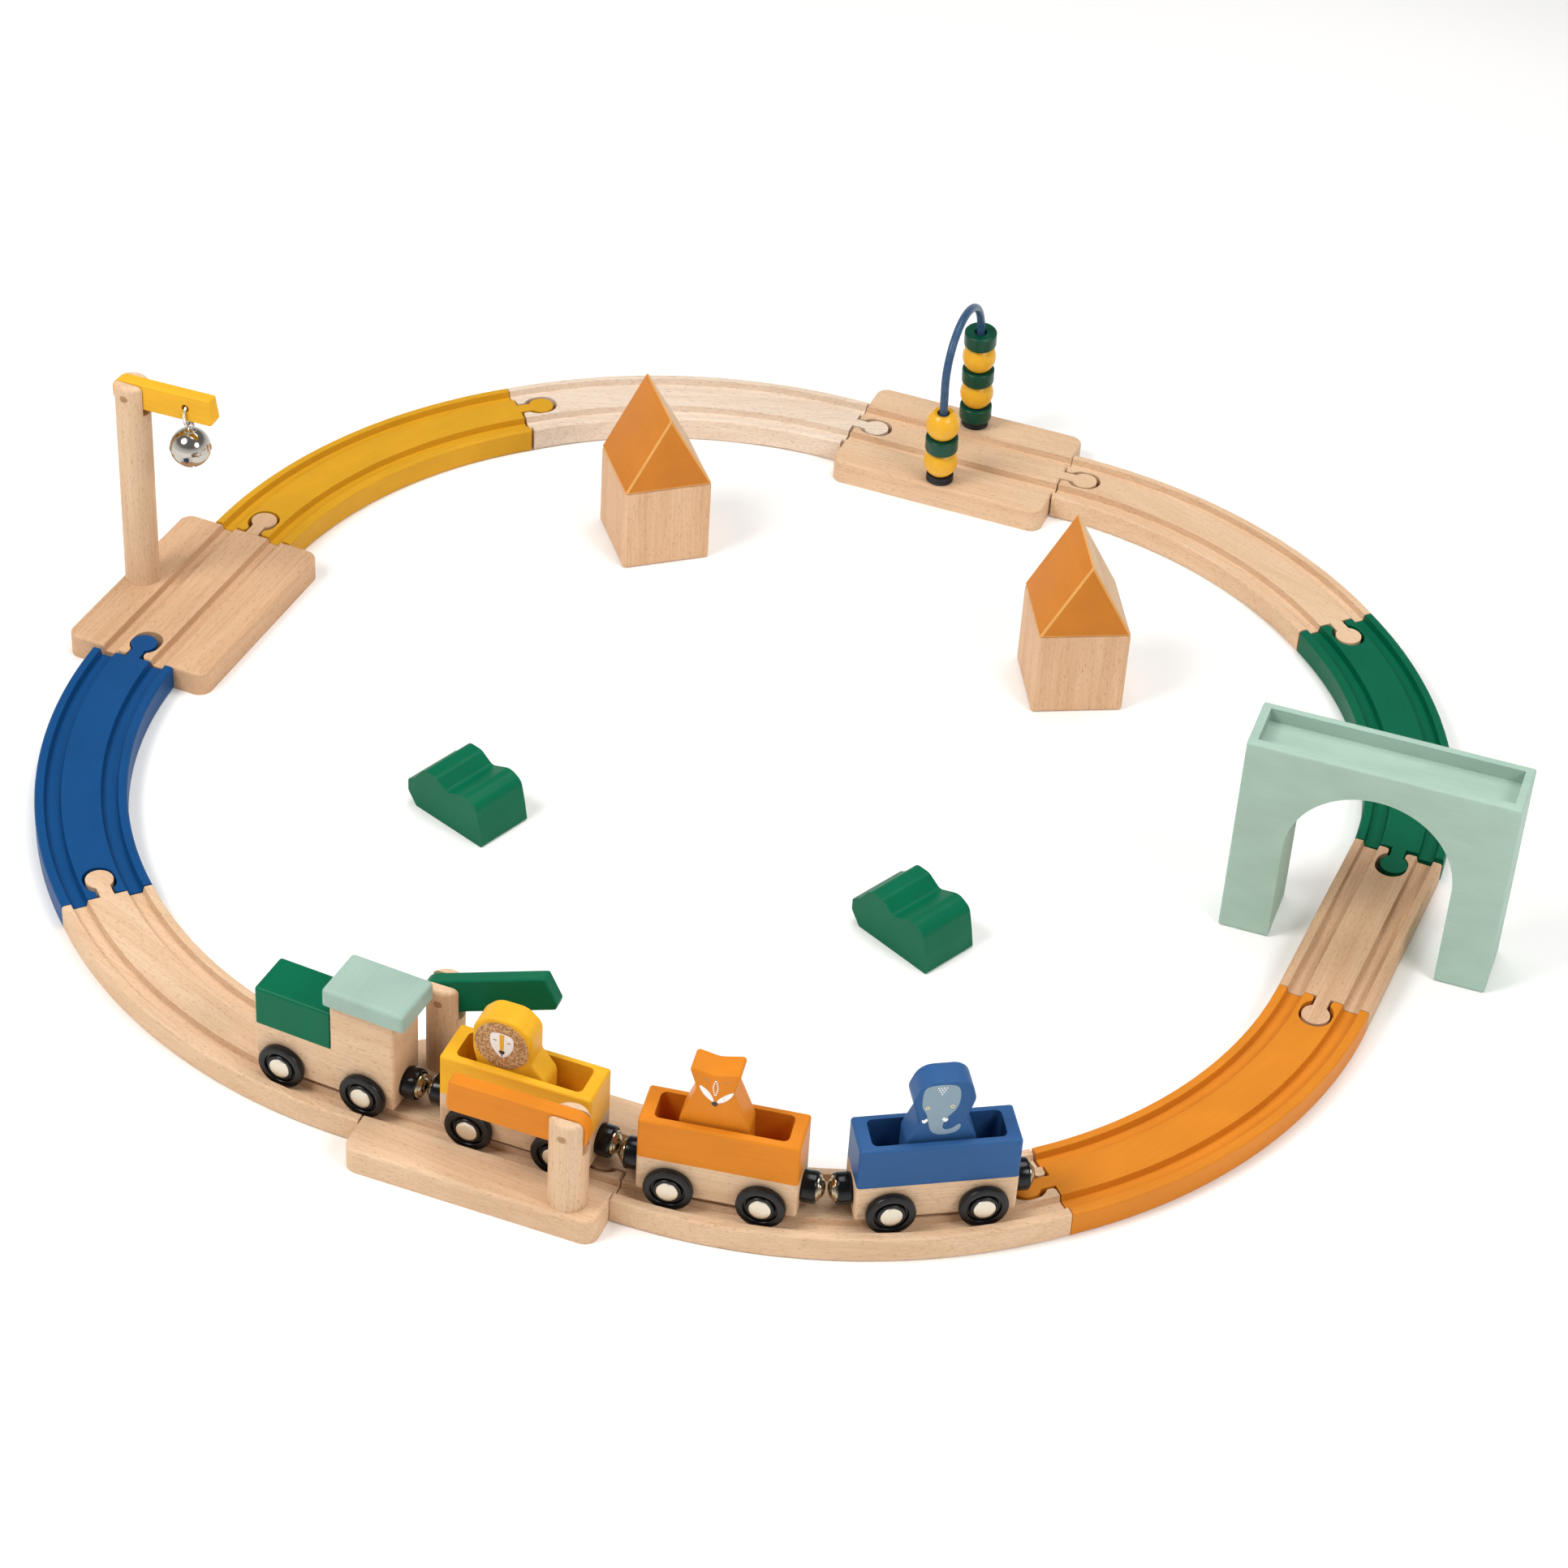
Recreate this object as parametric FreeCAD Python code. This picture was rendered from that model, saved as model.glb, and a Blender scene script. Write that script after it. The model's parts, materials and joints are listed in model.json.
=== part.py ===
"""Wooden toy train set on an oval of grooved track.

Twelve track pieces lie in a loop and hook together with a round knob in a slotted socket. Three of
them are wide platforms that carry a bell signal, a bead wire and two crossing gates. An engine and
three wagons stand in the grooves at the front. Two houses, two bushes and a bridge stand around.

Units are millimetres, +Z is up and the floor is z = 0. The origin is the middle of the whole set
on the floor. The train faces -X at the front of the loop, and goes round it clockwise.
"""
import FreeCAD, Part
import math
import os

V = FreeCAD.Vector
UP = V(0, 0, 1)

# ---------------------------------------------------------------- track
TRACK_WIDTH = 40.0
TRACK_THICK = 12.0
STRAIGHT_LENGTH = 108.0
CURVE_RADIUS = 217.0            # centre line of a curve
CURVE_TURN = 45.0               # degrees of one curve
TRACK_EDGE = 1.2                # rounding along the outer edges
GROOVE_TOP = 7.5
GROOVE_RIM = 4.0                # from a groove's side to the edge of the track
GROOVE_FLOOR = 6.0
GROOVE_DEPTH = 3.0
GROOVE_SPACING = TRACK_WIDTH - 2 * GROOVE_RIM - GROOVE_TOP      # between the grooves' middles

KNOB_HEAD = 6.0                 # radius of the round head
KNOB_REACH = 11.5               # from the end face to the middle of the head
KNOB_NECK = 6.0                 # width of the neck
SOCKET_SIDE = 1.0               # clearance round the head
NECK_SIDE = 1.0                 # clearance on each side of the neck
SOCKET_PULL = 2.3               # how far the head can be pulled back
SOCKET_PUSH = 0.2               # and how far it can be pushed in
SOCKET_LIP = 1.6                # rounding of the socket's mouth

JOINT_GAP = 0.3                 # between two end faces that lie square
LAID_TURNS = (0.9, 0.9, -4.5, -0.2, 1.7, 1.2)    # play taken up at the joints of half the loop

PLATFORM_WIDTH = 72.0
PLATFORM_CORNER = 6.0
PLATFORM_EDGE = 1.6

# ---------------------------------------------------------------- signal posts and arms
POST_RADIUS = 8.0
POST_TOP_EDGE = 2.4
POST_SOCKET = 7.0               # depth of the post's foot in its platform
GATE_POST_MARGIN = 1.8          # from a gate post's side to the platform's edge
BELL_POST_MARGIN = 0.4
SLOT_SIDE = 0.4                 # clearance on each side of an arm in its slot
ARM_THICK = 6.4
ARM_EDGE = 0.9
ARM_TIP = 1.2                   # rounding of the corners at an arm's tip
ARM_CUTBACK = (1.8, 1.2)        # from the tip back to the lower and the upper corner
ARM_CHIN = 2.6                  # height of the lower corner's slant
ARM_HEEL = 0.8                  # rounding of the tail, in parts of half the arm's depth
ARM_TAIL = 8.6                  # behind the pivot
PIN_RADIUS = 2.0
PIN_FIT = 0.1                   # radial clearance of an arm on its pin
PIN_INSET = 0.3                 # from a pin's end to the post's side
ARM_PROUD = 0.8                 # height of a level arm's top edge over the post's top
ARM_TAIL_CLEAR = 1.0            # room behind and below a turning arm

BELL_POST_HEIGHT = 108.5        # above the platform
BELL_ARM_DEPTH = 13.5
BELL_ARM_REACH = 43.0
BELL_ARM_REST = 3.0             # degrees above level
BELL_HOLE_REACH = 29.0

GATE_POST_HEIGHTS = (45.4, 44.0)     # the near one and the far one, above the platform
GATE_POST_ENDS = (7.0, 9.0)     # from a gate post's side to the end of its platform
GATE_ARM_DEPTH = 15.5
GATE_ARM_REACH = 51.0
FAR_GATE_REST = 21.5            # degrees above level

LINK_WIRE = 0.8                 # radius
LINK_FIT = 0.15                 # daylight between the link and the bell's eye
LINK_RISE = 0.58                # middle of the link's top bar over the arm's hole, in parts of the bar's sag
LINK_ROOM = 0.155               # between the link's top bar and the rim of the hole
LINK_DROP = 9.6                 # from the arm's hole down to the inside of the link's bottom
BELL_RADIUS = 9.6
BELL_WALL = 0.8
BELL_SLIT = 1.6
BELL_BALL = 2.6
BELL_BALL_LIFT = 0.9            # over the shell's inside
BELL_CUT = (0.72, 0.3)          # half length and top of a slit, in parts of the bell's radius
BELL_EYE = 1.9                  # radius of the eye on top of the bell

# ---------------------------------------------------------------- bead wire
WIRE_RADIUS = 2.0
WIRE_FOOT = 8.0                 # depth of a leg in the platform
WIRE_LEAN = 5.0                 # degrees that both legs lean into the loop
WIRE_OVER = 25.7                # from the top of the far stack to the wire's apex
WIRE_NEAR_BEND = 24.0
FERRULE_RADIUS = 6.7
FERRULE_HEIGHT = 4.0
FERRULE_EDGE = 0.6
FERRULE_MARGINS = (0.4, 4.5)    # from the near and the far ferrule to the platform's edges
BALL_HEIGHT = 14.2
BALL_FLAT = 4.3                 # radius of a ball's flat ends
BALL_RADIUS = math.hypot(BALL_HEIGHT / 2, BALL_FLAT)
DISC_RADIUS = 8.0
DISC_HEIGHT = 8.0
BEAD_HOLE = 3.1
BEAD_GAP = 0.05
NEAR_BEADS = ("ball", "disc", "ball")
FAR_BEADS = ("disc", "ball", "disc", "ball", "disc")
DISC_EDGE = 1.0

# ---------------------------------------------------------------- train
BODY_EDGE = 1.4
WAGON_LENGTH = 64.5
WAGON_GROUND = 14.0             # underside of every chassis
WAGON_DECK = 31.5               # top of a wagon's chassis
WAGON_RIM = 51.0                # top of a wagon's box
POCKET_SIDE = 3.0               # wall beside the pocket
POCKET_END = 5.5                # wall at each end of the pocket
POCKET_DEPTH = 15.0
POCKET_CORNER = 2.5
ENGINE_LENGTH = 63.0
ENGINE_DECK = 35.5
HOOD_TOP = 54.0
HOOD_LENGTH = 34.0
CAB_TOP = 60.0
ROOF_THICK = 8.0
ROOF_OVERHANG = 2.2             # at the front and both sides
ROOF_REAR = 5.6
ROOF_EDGE = 2.0
SEAM_GAP = 0.02

WHEELBASE = 37.0
WHEEL_RADIUS = 10.0
WHEEL_WIDTH = 3.4
WHEEL_INSET = 0.5               # gap from the chassis side to the wheel
WHEEL_OUT = 0.45                # from a groove's middle out to the wheel's middle
BODY_WIDTH = GROOVE_SPACING - WHEEL_WIDTH - 2 * (WHEEL_INSET - WHEEL_OUT)
WHEEL_EDGE = 0.9
WHEEL_STEP_RADIUS = 6.6
WHEEL_STEP_DEPTH = 0.9
CAP_RADIUS = 4.5
CAP_PROUD = 0.8
CAP_EDGE = 0.7
CAP_SEAT = 0.2                  # depth of a cap in its wheel
AXLE_RADIUS = 1.5
AXLE_FIT = 0.1                  # radial clearance in the chassis
WHEEL_LIFT = 0.05               # daylight under a wheel

COUPLER_HEIGHT = 22.5
COUPLER_CUP = 6.7               # radius of the black cup
COUPLER_CUP_LENGTH = 6.2
COUPLER_EDGE = 0.8
MAGNET_SEAT = 2.0               # from the body's end to the magnet's foot
MAGNET_TRIM = 0.4               # off the dome's widest part
MAGNET_RADIUS = 5.8
COUPLER_REACH = 9.1             # from the body's end to the magnet's tip
COUPLER_SLACK = 0.2             # between two magnets in line
YELLOW_STATION = -9.0           # the yellow wagon's middle, along the track from the front platform's

ANIMAL_THICK = 12.0
ANIMAL_EDGE = 1.2
ANIMAL_FIT = 0.4                # clearance over the pocket's floor

# ---------------------------------------------------------------- scenery
BRIDGE_WIDTH = 117.0
BRIDGE_DEPTH = 31.0
BRIDGE_HEIGHT = 100.0
BRIDGE_LEG = 22.0
BRIDGE_CROWN = 86.0
BRIDGE_EDGE = 1.2
TRAY_RIM = 4.0
TRAY_DEPTH = 6.5

HOUSE_SIDE = 42.5
HOUSE_EDGE = 1.5
GABLE_HEIGHT = 39.0

BUSH_LENGTH = 41.0
BUSH_DEPTH = 28.0
BUSH_HEIGHT = 23.0
BUSH_BULGE = 5.0

# Where the loose pieces stand. The bridge: from the middle of the plain straight. The others: from the
# loop's middle, in parts of the loop's half width. The last number is a turn in degrees.
BRIDGE_SHIFT = (-1.3, 4.5, 1.6)
HOUSE_SPOTS = ((-0.404, 0.547, 38.0), (0.402, 0.452, 27.0))
BUSH_SPOTS = ((-0.380, -0.290, -21.2), (0.382, -0.281, -25.8))

PIECES = (
    ("crossing_platform", "platform"), ("front_left_curve", "curve"), ("blue_curve", "curve"),
    ("bell_platform", "platform"), ("yellow_curve", "curve"), ("back_left_curve", "curve"),
    ("bead_platform", "platform"), ("back_right_curve", "curve"), ("green_curve", "curve"),
    ("plain_straight", "straight"), ("orange_curve", "curve"), ("front_right_curve", "curve"),
)


# ================================================================ flat outlines and simple solids
def outline(points, lift):
    """Closed wire through (a, b) or (a, b, corner radius) points; lift turns a, b into a 3-D point."""
    flat = [(p[0], p[1], p[2] if len(p) > 2 else 0.0) for p in points]
    edges = []
    ends = []
    for i, (a, b, radius) in enumerate(flat):
        before, after = flat[i - 1], flat[(i + 1) % len(flat)]
        here = V(a, b, 0)
        if radius <= 0:
            ends.append((here, here, None))
            continue
        back = (V(before[0], before[1], 0) - here).normalize()
        ahead = (V(after[0], after[1], 0) - here).normalize()
        half = math.acos(max(-1.0, min(1.0, back.dot(ahead)))) / 2
        run = radius / math.tan(half)
        middle = here + (back + ahead).normalize() * (radius / math.sin(half) - radius)
        ends.append((here + back * run, here + ahead * run, middle))
    for i, (start, end, middle) in enumerate(ends):
        if middle is not None:
            edges.append(Part.Arc(lift(start), lift(middle), lift(end)).toShape())
        following = ends[(i + 1) % len(ends)][0]
        if (following - end).Length > 1e-6:
            edges.append(Part.LineSegment(lift(end), lift(following)).toShape())
    return Part.Wire(edges)


def in_plan(points, bottom, top):
    """Solid with a plan outline between two heights."""
    face = Part.Face(outline(points, lambda p: V(p.x, p.y, bottom)))
    return face.extrude(V(0, 0, top - bottom))


def in_side_view(points, thick):
    """Solid with an x, z outline, centred on y = 0."""
    face = Part.Face(outline(points, lambda p: V(p.x, thick / 2, p.y)))
    return face.extrude(V(0, -thick, 0))


def block(x0, x1, width, z0, z1):
    """Plain box between two x, centred on y = 0, between two heights."""
    return Part.makeBox(x1 - x0, width, z1 - z0, V(x0, -width / 2, z0))


def eased(solid, radius, wanted=None):
    """Rounds every edge that wanted(edge) accepts, or all of them."""
    edges = [e for e in solid.Edges if wanted is None or wanted(e)]
    return solid.makeFillet(radius, edges)


def cylinder(radius, start, along, length):
    return Part.makeCylinder(radius, length, start, along)


def put(shape, x, y, heading, z=0.0):
    """Copy of a shape, turned about Z by heading in degrees and moved."""
    moved = shape.copy()
    turn = FreeCAD.Rotation(UP, heading)
    moved.Placement = FreeCAD.Placement(V(x, y, z), turn).multiply(moved.Placement)
    return moved


# ================================================================ the loop's layout
def advance(x, y, heading, distance):
    a = math.radians(heading)
    return x + distance * math.cos(a), y + distance * math.sin(a)


def end_of(kind, x, y, heading):
    """End point and heading of a piece that starts at x, y."""
    if kind != "curve":
        return advance(x, y, heading, STRAIGHT_LENGTH) + (heading,)
    return curve_point(x, y, heading, CURVE_TURN)


def curve_centre(x, y, heading):
    return advance(x, y, heading - 90.0, CURVE_RADIUS)


def curve_point(x, y, heading, turned):
    """Point and heading on a right-hand curve after some degrees of it."""
    cx, cy = curve_centre(x, y, heading)
    px, py = advance(cx, cy, heading + 90.0 - turned, CURVE_RADIUS)
    return px, py, heading - turned


def gap_at(turn):
    """Gap between two end faces that are laid at a small turn, so that their near corners just clear."""
    return JOINT_GAP + TRACK_WIDTH / 2 * abs(math.sin(math.radians(turn)))


def laid_out():
    """Start of every piece as {name: (x, y, heading)}, with the loop's middle at 0, 0.

    The loop turns into itself by half a turn, so its closing does not depend on any length.
    """
    half = len(PIECES) // 2
    x, y, heading = 0.0, 0.0, 180.0
    starts = []
    for i in range(half):
        starts.append((x, y, heading))
        x, y, heading = end_of(PIECES[i][1], x, y, heading)
        turn = LAID_TURNS[i]
        x, y = advance(x, y, heading + turn / 2, gap_at(turn))
        heading += turn
    layout = {}
    for i, (name, _) in enumerate(PIECES):
        px, py, ph = starts[i % half]
        px, py = px - x / 2, py - y / 2
        if i >= half:
            px, py, ph = -px, -py, ph - 180.0
        layout[name] = (px, py, ph)
    return layout


LAYOUT = laid_out()


def on_track(station):
    """Point on the centre line, at a distance along the track from the crossing platform's middle."""
    x, y, heading = LAYOUT["crossing_platform"]
    half = STRAIGHT_LENGTH / 2
    if abs(station) <= half:
        return advance(x, y, heading, station + half)
    if station > half:
        gap = gap_at(LAID_TURNS[0])
        beyond = station - half - gap
        if beyond < 0:
            return advance(x, y, heading, station + half)
        x, y, heading = LAYOUT["front_left_curve"]
        return curve_point(x, y, heading, math.degrees(beyond / CURVE_RADIUS))[:2]
    gap = gap_at(LAID_TURNS[-1])
    short = -station - half - gap
    if short < 0:
        return advance(x, y, heading, station + half)
    x, y, heading = LAYOUT["front_right_curve"]
    return curve_point(x, y, heading, CURVE_TURN - math.degrees(short / CURVE_RADIUS))[:2]


def seated(station):
    """Place of a vehicle whose two axles are on the centre line: x, y, heading."""
    rear = on_track(station - WHEELBASE / 2)
    front = on_track(station + WHEELBASE / 2)
    heading = math.degrees(math.atan2(front[1] - rear[1], front[0] - rear[0]))
    return (rear[0] + front[0]) / 2, (rear[1] + front[1]) / 2, heading


PITCH = WAGON_LENGTH + 2 * COUPLER_REACH + COUPLER_SLACK
STATIONS = {
    "engine": YELLOW_STATION + (WAGON_LENGTH + ENGINE_LENGTH) / 2 + 2 * COUPLER_REACH + COUPLER_SLACK,
    "yellow_wagon": YELLOW_STATION,
    "orange_wagon": YELLOW_STATION - PITCH,
    "blue_wagon": YELLOW_STATION - 2 * PITCH,
}


# ================================================================ track pieces
def groove_profile():
    """Both grooves' section in the y, z plane, a little taller than their depth."""
    over = 1.0
    floor = TRACK_THICK - GROOVE_DEPTH
    slope = (GROOVE_TOP - GROOVE_FLOOR) / 2 / GROOVE_DEPTH
    faces = []
    for side in (-1, 1):
        middle = side * GROOVE_SPACING / 2
        wide = GROOVE_TOP / 2 + slope * over
        points = [
            (middle - GROOVE_FLOOR / 2, floor), (middle + GROOVE_FLOOR / 2, floor),
            (middle + wide, TRACK_THICK + over), (middle - wide, TRACK_THICK + over),
        ]
        faces.append(Part.Face(outline(points, lambda p: V(0, p.x, p.y))))
    return faces


def deck_profile():
    """A narrow track piece's section without its grooves."""
    half = TRACK_WIDTH / 2
    points = [
        (-half, 0, TRACK_EDGE), (half, 0, TRACK_EDGE),
        (half, TRACK_THICK, TRACK_EDGE), (-half, TRACK_THICK, TRACK_EDGE),
    ]
    return Part.Face(outline(points, lambda p: V(0, p.x, p.y)))


def run_along(face, kind):
    """Sweeps a section along a piece that starts at 0, 0 and heads for +X."""
    if kind == "curve":
        return face.revolve(V(0, -CURVE_RADIUS, 0), V(0, 0, -1), CURVE_TURN)
    return face.extrude(V(STRAIGHT_LENGTH, 0, 0))


def knob():
    """Neck and round head that stick out of an end face at x = 0."""
    neck = block(-1.0, KNOB_REACH, KNOB_NECK, 0, TRACK_THICK)
    head = cylinder(KNOB_HEAD, V(KNOB_REACH, 0, 0), UP, TRACK_THICK)
    return neck.fuse(head).removeSplitter()


def socket():
    """The room that a knob needs in the end face at x = 0 of the next piece."""
    z0, z1 = -1.0, TRACK_THICK + 1.0
    radius = KNOB_HEAD + SOCKET_SIDE
    back, front = KNOB_REACH - SOCKET_PULL, KNOB_REACH + SOCKET_PUSH
    room = cylinder(radius, V(back, 0, z0), UP, z1 - z0)
    room = room.fuse(cylinder(radius, V(front, 0, z0), UP, z1 - z0))
    room = room.fuse(block(back, front, 2 * radius, z0, z1))
    half = KNOB_NECK / 2 + NECK_SIDE
    mouth = [
        (-1, -half - SOCKET_LIP), (0, -half - SOCKET_LIP), (0, -half, SOCKET_LIP), (back, -half),
        (back, half), (0, half, SOCKET_LIP), (0, half + SOCKET_LIP), (-1, half + SOCKET_LIP),
    ]
    return room.fuse(in_plan(mouth, z0, z1))


def platform_deck():
    """Wide platform's board."""
    half = PLATFORM_WIDTH / 2
    points = [
        (0, -half, PLATFORM_CORNER), (STRAIGHT_LENGTH, -half, PLATFORM_CORNER),
        (STRAIGHT_LENGTH, half, PLATFORM_CORNER), (0, half, PLATFORM_CORNER),
    ]
    board = in_plan(points, 0, TRACK_THICK)
    return eased(board, PLATFORM_EDGE, lambda e: e.CenterOfMass.z > TRACK_THICK - 0.01)


def platform_hole(along, across, radius, depth):
    """Blind hole in a platform, from its middle."""
    where = V(STRAIGHT_LENGTH / 2 + along, across, TRACK_THICK - depth)
    return cylinder(radius, where, UP, depth + 1.0)


def post_offset(margin):
    """From the track's centre line to a post that stands a margin inside its platform's edge."""
    return PLATFORM_WIDTH / 2 - margin - POST_RADIUS


def post_spots(name):
    """Blind holes in a platform: (along, across, radius, depth), from its middle."""
    if name == "bell_platform":
        return [(0, post_offset(BELL_POST_MARGIN), POST_RADIUS, POST_SOCKET)]
    if name == "crossing_platform":
        across = post_offset(GATE_POST_MARGIN)
        near, far = [STRAIGHT_LENGTH / 2 - POST_RADIUS - end for end in GATE_POST_ENDS]
        return [(-near, across, POST_RADIUS, POST_SOCKET), (far, -across, POST_RADIUS, POST_SOCKET)]
    return []


def track_piece(name, kind):
    """One track piece at its place in the loop."""
    body = platform_deck() if kind == "platform" else run_along(deck_profile(), kind)
    for face in groove_profile():
        body = body.cut(run_along(face, kind))
    end_x, end_y, end_heading = end_of(kind, 0.0, 0.0, 0.0)
    body = body.fuse(put(knob(), end_x, end_y, end_heading)).removeSplitter()
    body = body.cut(socket())
    for spot in post_spots(name):
        body = body.cut(platform_hole(*spot))
    if name == "bead_platform":
        for foot in wire_feet():
            hole = cylinder(WIRE_RADIUS, leg_point(foot, -WIRE_FOOT), leg_direction(), 2 * WIRE_FOOT)
            body = body.cut(at_platform_middle(hole))
    return put(body, *LAYOUT[name])


def at_platform_middle(shape):
    return put(shape, STRAIGHT_LENGTH / 2, 0, 0)


def on_platform(shape, name, along, across, turned=0.0):
    """Puts a shape on a platform, from the platform's middle; +X of the shape runs with the track."""
    x, y, heading = LAYOUT[name]
    local = put(shape, STRAIGHT_LENGTH / 2 + along, across, turned)
    return put(local, x, y, heading)


# ================================================================ signal posts, arms and the bell
def pivot_height(post_height, arm_depth):
    """Height of an arm's pin; a level arm's top edge stands a little over the post's top."""
    return TRACK_THICK + post_height + ARM_PROUD - arm_depth / 2


def post(height, arm_depth):
    """Slotted post with its pin; the slot runs along x. The pin is a second solid."""
    shaft = cylinder(POST_RADIUS, V(0, 0, TRACK_THICK - POST_SOCKET), UP, height + POST_SOCKET)
    top = TRACK_THICK + height
    shaft = eased(shaft, POST_TOP_EDGE, lambda e: e.CenterOfMass.z > top - 0.01)
    pin_z = pivot_height(height, arm_depth)
    slot_floor = pin_z - ARM_TAIL - ARM_TAIL_CLEAR
    slot = block(-POST_RADIUS - 1, POST_RADIUS + 1, ARM_THICK + 2 * SLOT_SIDE, slot_floor, top + 1)
    pin_half = POST_RADIUS - PIN_INSET
    pin = cylinder(PIN_RADIUS, V(0, -pin_half, pin_z), V(0, 1, 0), 2 * pin_half)
    return Part.makeCompound([shaft.cut(slot).cut(pin), pin])


def arm(depth, reach, angle, pin_z, hole_reach=0.0):
    """Signal arm that points along +X from its pin at x = 0, raised by angle."""
    half = depth / 2
    points = [
        (-ARM_TAIL, -half, ARM_HEEL * half), (reach - ARM_CUTBACK[0], -half, ARM_TIP),
        (reach, -half + ARM_CHIN, ARM_TIP), (reach - ARM_CUTBACK[1], half, ARM_TIP),
        (-ARM_TAIL, half, ARM_HEEL * half),
    ]
    bar = in_side_view(points, ARM_THICK)
    bar = eased(bar, ARM_EDGE, lambda e: abs(abs(e.CenterOfMass.y) - ARM_THICK / 2) < 0.01)
    bar = bar.cut(cylinder(PIN_RADIUS + PIN_FIT, V(0, -ARM_THICK, 0), V(0, 1, 0), 2 * ARM_THICK))
    if hole_reach:
        hole = cylinder(link_hole(), V(hole_reach, -ARM_THICK, 0), V(0, 1, 0), 2 * ARM_THICK)
        bar = bar.cut(hole)
    bar.rotate(V(0, 0, 0), V(0, 1, 0), -angle)
    bar.translate(V(0, 0, pin_z))
    return bar


def bell_hole():
    """The bell arm's hole: reach along the level and height, with the arm at rest."""
    angle = math.radians(BELL_ARM_REST)
    pin_z = pivot_height(BELL_POST_HEIGHT, BELL_ARM_DEPTH)
    return BELL_HOLE_REACH * math.cos(angle), pin_z + BELL_HOLE_REACH * math.sin(angle)


def link_bar():
    """The link's rounded top bar: its sag between the arm's middle and side, and its slope's cosine there."""
    bend = ARM_THICK / 2 + SLOT_SIDE + LINK_WIRE
    level = math.sqrt(bend * bend - ARM_THICK * ARM_THICK / 4)
    return bend - level, level / bend


def link_rise():
    return LINK_RISE * link_bar()[0]


def link_hole():
    """Radius of the arm's hole, through which the rounded bar just passes."""
    sag, cosine = link_bar()
    return sag - link_rise() + LINK_WIRE / cosine + LINK_ROOM


def wire_loop(width, height, radius):
    """Closed oval ring of round wire in the y, z plane round a hole that stands on z = 0."""
    side = width / 2 + radius
    bend = width / 2
    low, high = bend, height - bend
    diagonal = math.sqrt(0.5)
    middles = [(sy, sz) for sz in (-1, 1) for sy in (1, -1)]
    edges = []
    for sy, sz in middles:
        centre = V(0, 0, low if sz < 0 else high)
        flank, tip = centre + V(0, sy * side, 0), centre + V(0, 0, sz * side)
        shoulder = centre + V(0, sy * side * diagonal, sz * side * diagonal)
        edges.append(Part.Arc(flank, shoulder, tip).toShape())
    for sy in (-1, 1):
        edges.append(Part.LineSegment(V(0, sy * side, low), V(0, sy * side, high)).toShape())
    path = Part.Wire(Part.__sortEdges__(edges))
    section = Part.Wire(Part.makeCircle(radius, V(0, -side, (low + high) / 2), UP))
    return path.makePipeShell([section], True, True)


def hanger():
    """Oval link through the arm's hole; its top bar lies in the hole."""
    reach, height = bell_hole()
    loop = wire_loop(ARM_THICK + 2 * SLOT_SIDE, LINK_DROP + link_rise() - LINK_WIRE, LINK_WIRE)
    loop.translate(V(reach, 0, height - LINK_DROP))
    return loop


def bell():
    """Jingle bell with an eye, slits and a loose ball; the ball is a second solid."""
    reach, height = bell_hole()
    eye_z = height - LINK_DROP + LINK_FIT + LINK_WIRE - BELL_EYE
    centre_z = eye_z - BELL_EYE - LINK_WIRE / 2 - BELL_RADIUS
    shell = Part.makeSphere(BELL_RADIUS).cut(Part.makeSphere(BELL_RADIUS - BELL_WALL))
    low = -BELL_RADIUS - 1
    long, top = [share * BELL_RADIUS for share in BELL_CUT]
    for turn in (0, 90):
        slit = block(-long, long, BELL_SLIT, low, -top)
        shell = shell.cut(put(slit, 0, 0, turn))
    shell.translate(V(0, 0, centre_z))
    eye = Part.makeTorus(BELL_EYE, LINK_WIRE, V(0, 0, eye_z), V(0, 1, 0))
    shell = shell.fuse(eye)
    ball_z = centre_z - BELL_RADIUS + BELL_WALL + BELL_BALL + BELL_BALL_LIFT
    ball = Part.makeSphere(BELL_BALL, V(0, 0, ball_z))
    both = Part.makeCompound([shell, ball])
    both.translate(V(reach, 0, 0))
    return both


def signals():
    """Posts, arms, hanger and bell at their places."""
    bell_pin = pivot_height(BELL_POST_HEIGHT, BELL_ARM_DEPTH)
    gate_pins = [pivot_height(height, GATE_ARM_DEPTH) for height in GATE_POST_HEIGHTS]
    spots = post_spots("crossing_platform")
    pair = []
    for height, spot in zip(GATE_POST_HEIGHTS, spots):
        pair += on_platform(post(height, GATE_ARM_DEPTH), "crossing_platform", *spot[:2]).Solids
    inward = -90.0
    bell_spot = ("bell_platform", 0, post_offset(BELL_POST_MARGIN), inward)
    near = arm(GATE_ARM_DEPTH, GATE_ARM_REACH, 0.0, gate_pins[0])
    far = arm(GATE_ARM_DEPTH, GATE_ARM_REACH, FAR_GATE_REST, gate_pins[1])
    return {
        "bell_post": on_platform(post(BELL_POST_HEIGHT, BELL_ARM_DEPTH), *bell_spot),
        "bell_arm": on_platform(
            arm(BELL_ARM_DEPTH, BELL_ARM_REACH, BELL_ARM_REST, bell_pin, BELL_HOLE_REACH), *bell_spot),
        "bell_hanger": on_platform(hanger(), *bell_spot),
        "jingle_bell": on_platform(bell(), *bell_spot),
        "gate_posts": Part.makeCompound(pair),
        "near_gate_arm": on_platform(near, "crossing_platform", *spots[0][:2]),
        "far_gate_arm": on_platform(far, "crossing_platform", *spots[1][:2], 180.0),
    }


# ================================================================ bead wire
def wire_feet():
    """Places of both legs' feet, across the track from the platform's middle."""
    inside = PLATFORM_WIDTH / 2 - FERRULE_RADIUS
    return FERRULE_MARGINS[0] - inside, inside - FERRULE_MARGINS[1]


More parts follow.
